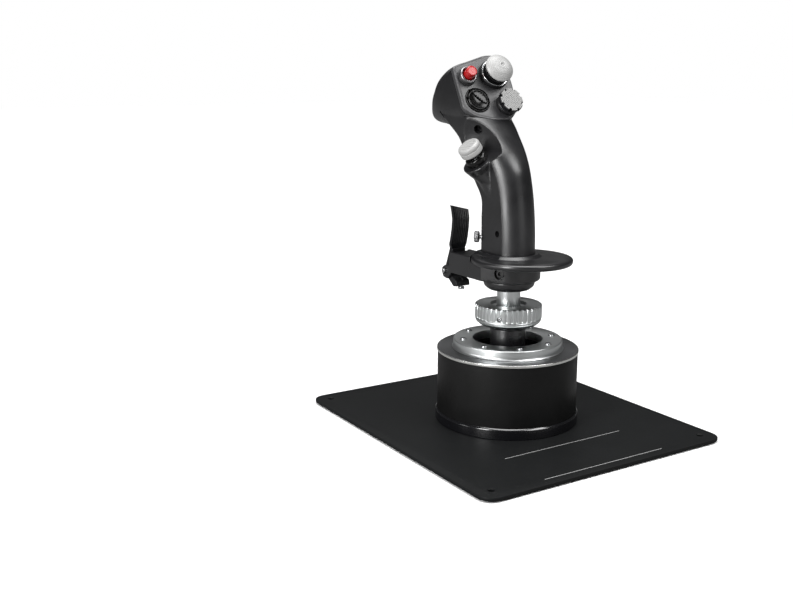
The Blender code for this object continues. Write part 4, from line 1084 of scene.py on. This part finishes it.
def make_buttons():
    """Red button in a bright ring, and the small knurled button with its bush."""
    lathe("red_bezel", KNURLED, mm([(6.6, 5.2, 0.4), (7.8, 4.4, 0.8), (8.2, GAP_MM, 0.2),
        (5.3, GAP_MM), (5.3, -5), (5, -5), (5, 3), (6, 4.8, 0.2)]), RED, 128, True)
    lathe("red_button", RED_PLASTIC, mm([(0, 11.1), (3, 11.2, 1), (4.6, 11, 0.6), (4.6, -3.6),
        (0, -3.6)]), RED, 96)

    def knurled(angle, radius, height):
        return radius - (0.0002 if radius > 0.0046 and (angle * 24 / (2 * pi)) % 1.0 > 0.5 else 0.0)

    lathe("mode_button", KNURLED, mm([(0, 8), (3, 8, 0.3), (4.2, 7.8, 0.2), (4.8, 7.2), (4.8, 4.4),
        (4.2, 3.8, 0.3), (1.7, 3.6), (1.7, -5), (0, -5)]), MODE, 144, False, knurled)
    lathe("mode_bush", KNURLED, mm([(3.1, 1.8, 0.3), (3.1, -6), (2, -6), (2, 1.8)]), MODE, 64, True)


def make_trigger():
    """The curved trigger blade on its pin."""
    pin = TRIGGER_PIN
    side = mm([(-4, 3), (-5.2, -5), (-7.6, -11), (-8, -18), (-6.6, -24), (-4.4, -28.5),
        (-2.8, -29.2), (-2.4, -27), (-4, -22), (-4.8, -17), (-3.6, -10), (1, -3), (4.4, 3.4)])
    soft = soften([(x, y, 0.002) for x, y in side], True, 3)
    blade = prism("trigger_detail", soft, -0.006, 0.006, at(*pin) @ SIDEWAYS)
    bevel(blade, 0.0012, 4, 50)
    cut(blade, rod("trigger_eye", 0.0021, -0.012, 0.012, ACROSS_TRIGGER, 32))
    place(blade, RED_PLASTIC, "trigger")
    place(rod("trigger_pin_detail", 0.0018, -0.0106, 0.0106, ACROSS_TRIGGER, 32, 0.0003), STEEL,
        "trigger_pin")


# ---- stage

LENS = 46.05
SENSOR = 36.0
CAMERA_AT = (-0.51834, -0.66172, 0.29661)
CAMERA_TILT = 77.29
CAMERA_PAN = -31.61
AMBIENT = 0.05
OVERHEAD = 3.1
OVERHEAD_WIDTH = 50.0
FLOOR_SEEN = 1.0
FLOOR_BOUNCE = 0.22
FLOOR_HALF = 8.0
FLOOR_LEVEL = -0.0002
LIGHTS_AIM = Vector((0, 0, 0.14))
# name, azimuth (0 is towards -Y, 90 towards +X), elevation, distance, width, height, watts
LIGHTS = (
    ("key", -73.0, 18.0, 1.6, 0.45, 1.5, 27.0),
    ("face", 26.0, 46.0, 1.5, 0.8, 0.6, 11.0),
    ("front", 16.0, 5.0, 1.9, 1.1, 0.6, 1.8),
    ("facet", -104.0, 3.0, 1.3, 0.3, 0.3, 1.6),
    ("rim", 150.0, 40.0, 1.7, 0.9, 0.9, 1.5),
)


def seen_or_lighting(tree, seen, lighting, output):
    """Show the camera one shader and every other ray another."""
    choose = tree.nodes.new("ShaderNodeMixShader")
    ray = tree.nodes.new("ShaderNodeLightPath")
    tree.links.new(ray.outputs["Is Camera Ray"], choose.inputs[0])
    tree.links.new(lighting.outputs[0], choose.inputs[1])
    tree.links.new(seen.outputs[0], choose.inputs[2])
    tree.links.new(choose.outputs[0], tree.nodes[output].inputs["Surface"])


def make_floor():
    """A floor that the camera sees white and that throws little light back."""
    a, z = FLOOR_HALF, FLOOR_LEVEL
    floor = mesh_from("floor", [(-a, -a, z), (a, -a, z), (a, a, z), (-a, a, z)], [(0, 1, 2, 3)])
    pale = bpy.data.materials.new("pale_floor")
    pale.use_nodes = True
    seen = pale.node_tree.nodes["Principled BSDF"]
    dial(seen, {"Base Color": (*[FLOOR_SEEN] * 3, 1.0), "Roughness": 0.9,
        "Specular IOR Level": 0.1})
    bounced = pale.node_tree.nodes.new("ShaderNodeBsdfDiffuse")
    dial(bounced, {"Color": (*[FLOOR_BOUNCE] * 3, 1.0)})
    seen_or_lighting(pale.node_tree, seen, bounced, "Material Output")
    floor.data.materials.append(pale)


def make_lights():
    """The backdrop, the area lights and a broad overhead light."""
    scene = bpy.context.scene
    world = bpy.data.worlds.new("studio")
    scene.world = world
    world.use_nodes = True
    ambient = world.node_tree.nodes["Background"]
    backdrop = world.node_tree.nodes.new("ShaderNodeBackground")
    for node, strength in ((ambient, AMBIENT), (backdrop, 1.0)):
        dial(node, {"Color": (1.0, 1.0, 1.0, 1.0), "Strength": strength})
    seen_or_lighting(world.node_tree, backdrop, ambient, "World Output")
    for name, azimuth, elevation, distance, width, height, watts in LIGHTS:
        data = bpy.data.lights.new(name, "AREA")
        data.shape = "RECTANGLE"
        data.size, data.size_y = width, height
        data.energy = watts
        lamp = bpy.data.objects.new(name, data)
        scene.collection.objects.link(lamp)
        a, e = radians(azimuth), radians(elevation)
        off = Vector((sin(a) * cos(e), -cos(a) * cos(e), sin(e)))
        lamp.location = LIGHTS_AIM + distance * off
        lamp.rotation_euler = (LIGHTS_AIM - lamp.location).to_track_quat("-Z", "Y").to_euler()
    sky = bpy.data.lights.new("overhead", "SUN")
    sky.energy = OVERHEAD
    sky.angle = radians(OVERHEAD_WIDTH)
    scene.collection.objects.link(bpy.data.objects.new("overhead", sky))


def make_camera():
    """The camera and the picture's colour transform."""
    scene = bpy.context.scene
    scene.view_settings.view_transform = "Standard"
    lens = bpy.data.cameras.new("camera")
    lens.lens = LENS
    lens.sensor_width = SENSOR
    lens.clip_start = 0.01
    camera = bpy.data.objects.new("camera", lens)
    scene.collection.objects.link(camera)
    camera.location = CAMERA_AT
    camera.rotation_euler = (radians(CAMERA_TILT), 0.0, radians(CAMERA_PAN))
    scene.camera = camera


for build in (make_plate, make_base, make_hub, make_nut, make_footing, make_hand_rest, make_paddle,
        make_grip, make_face, make_trim_hat, make_dish_hat, make_gear_hat, make_side_hat,
        make_buttons, make_trigger):
    build()
# CAD nodes that stay as they are and only get a finish
KEPT = {"gimbal_cradle": CAST_BLACK, "gimbal_ring": SILVER, "centring_spring": SPRING,
    "sensor_board": BOARD, "grip_board": BOARD, "side_stem": STEEL}
KEPT.update({n: STEEL for n in ("trim_yoke", "dish_yoke", "gear_yoke", "side_yoke")})
for node, look in KEPT.items():
    kept = frame["nodes"][node]
    kept.data.materials.clear()
    kept.data.materials.append(look)
make_floor()
make_lights()
make_camera()
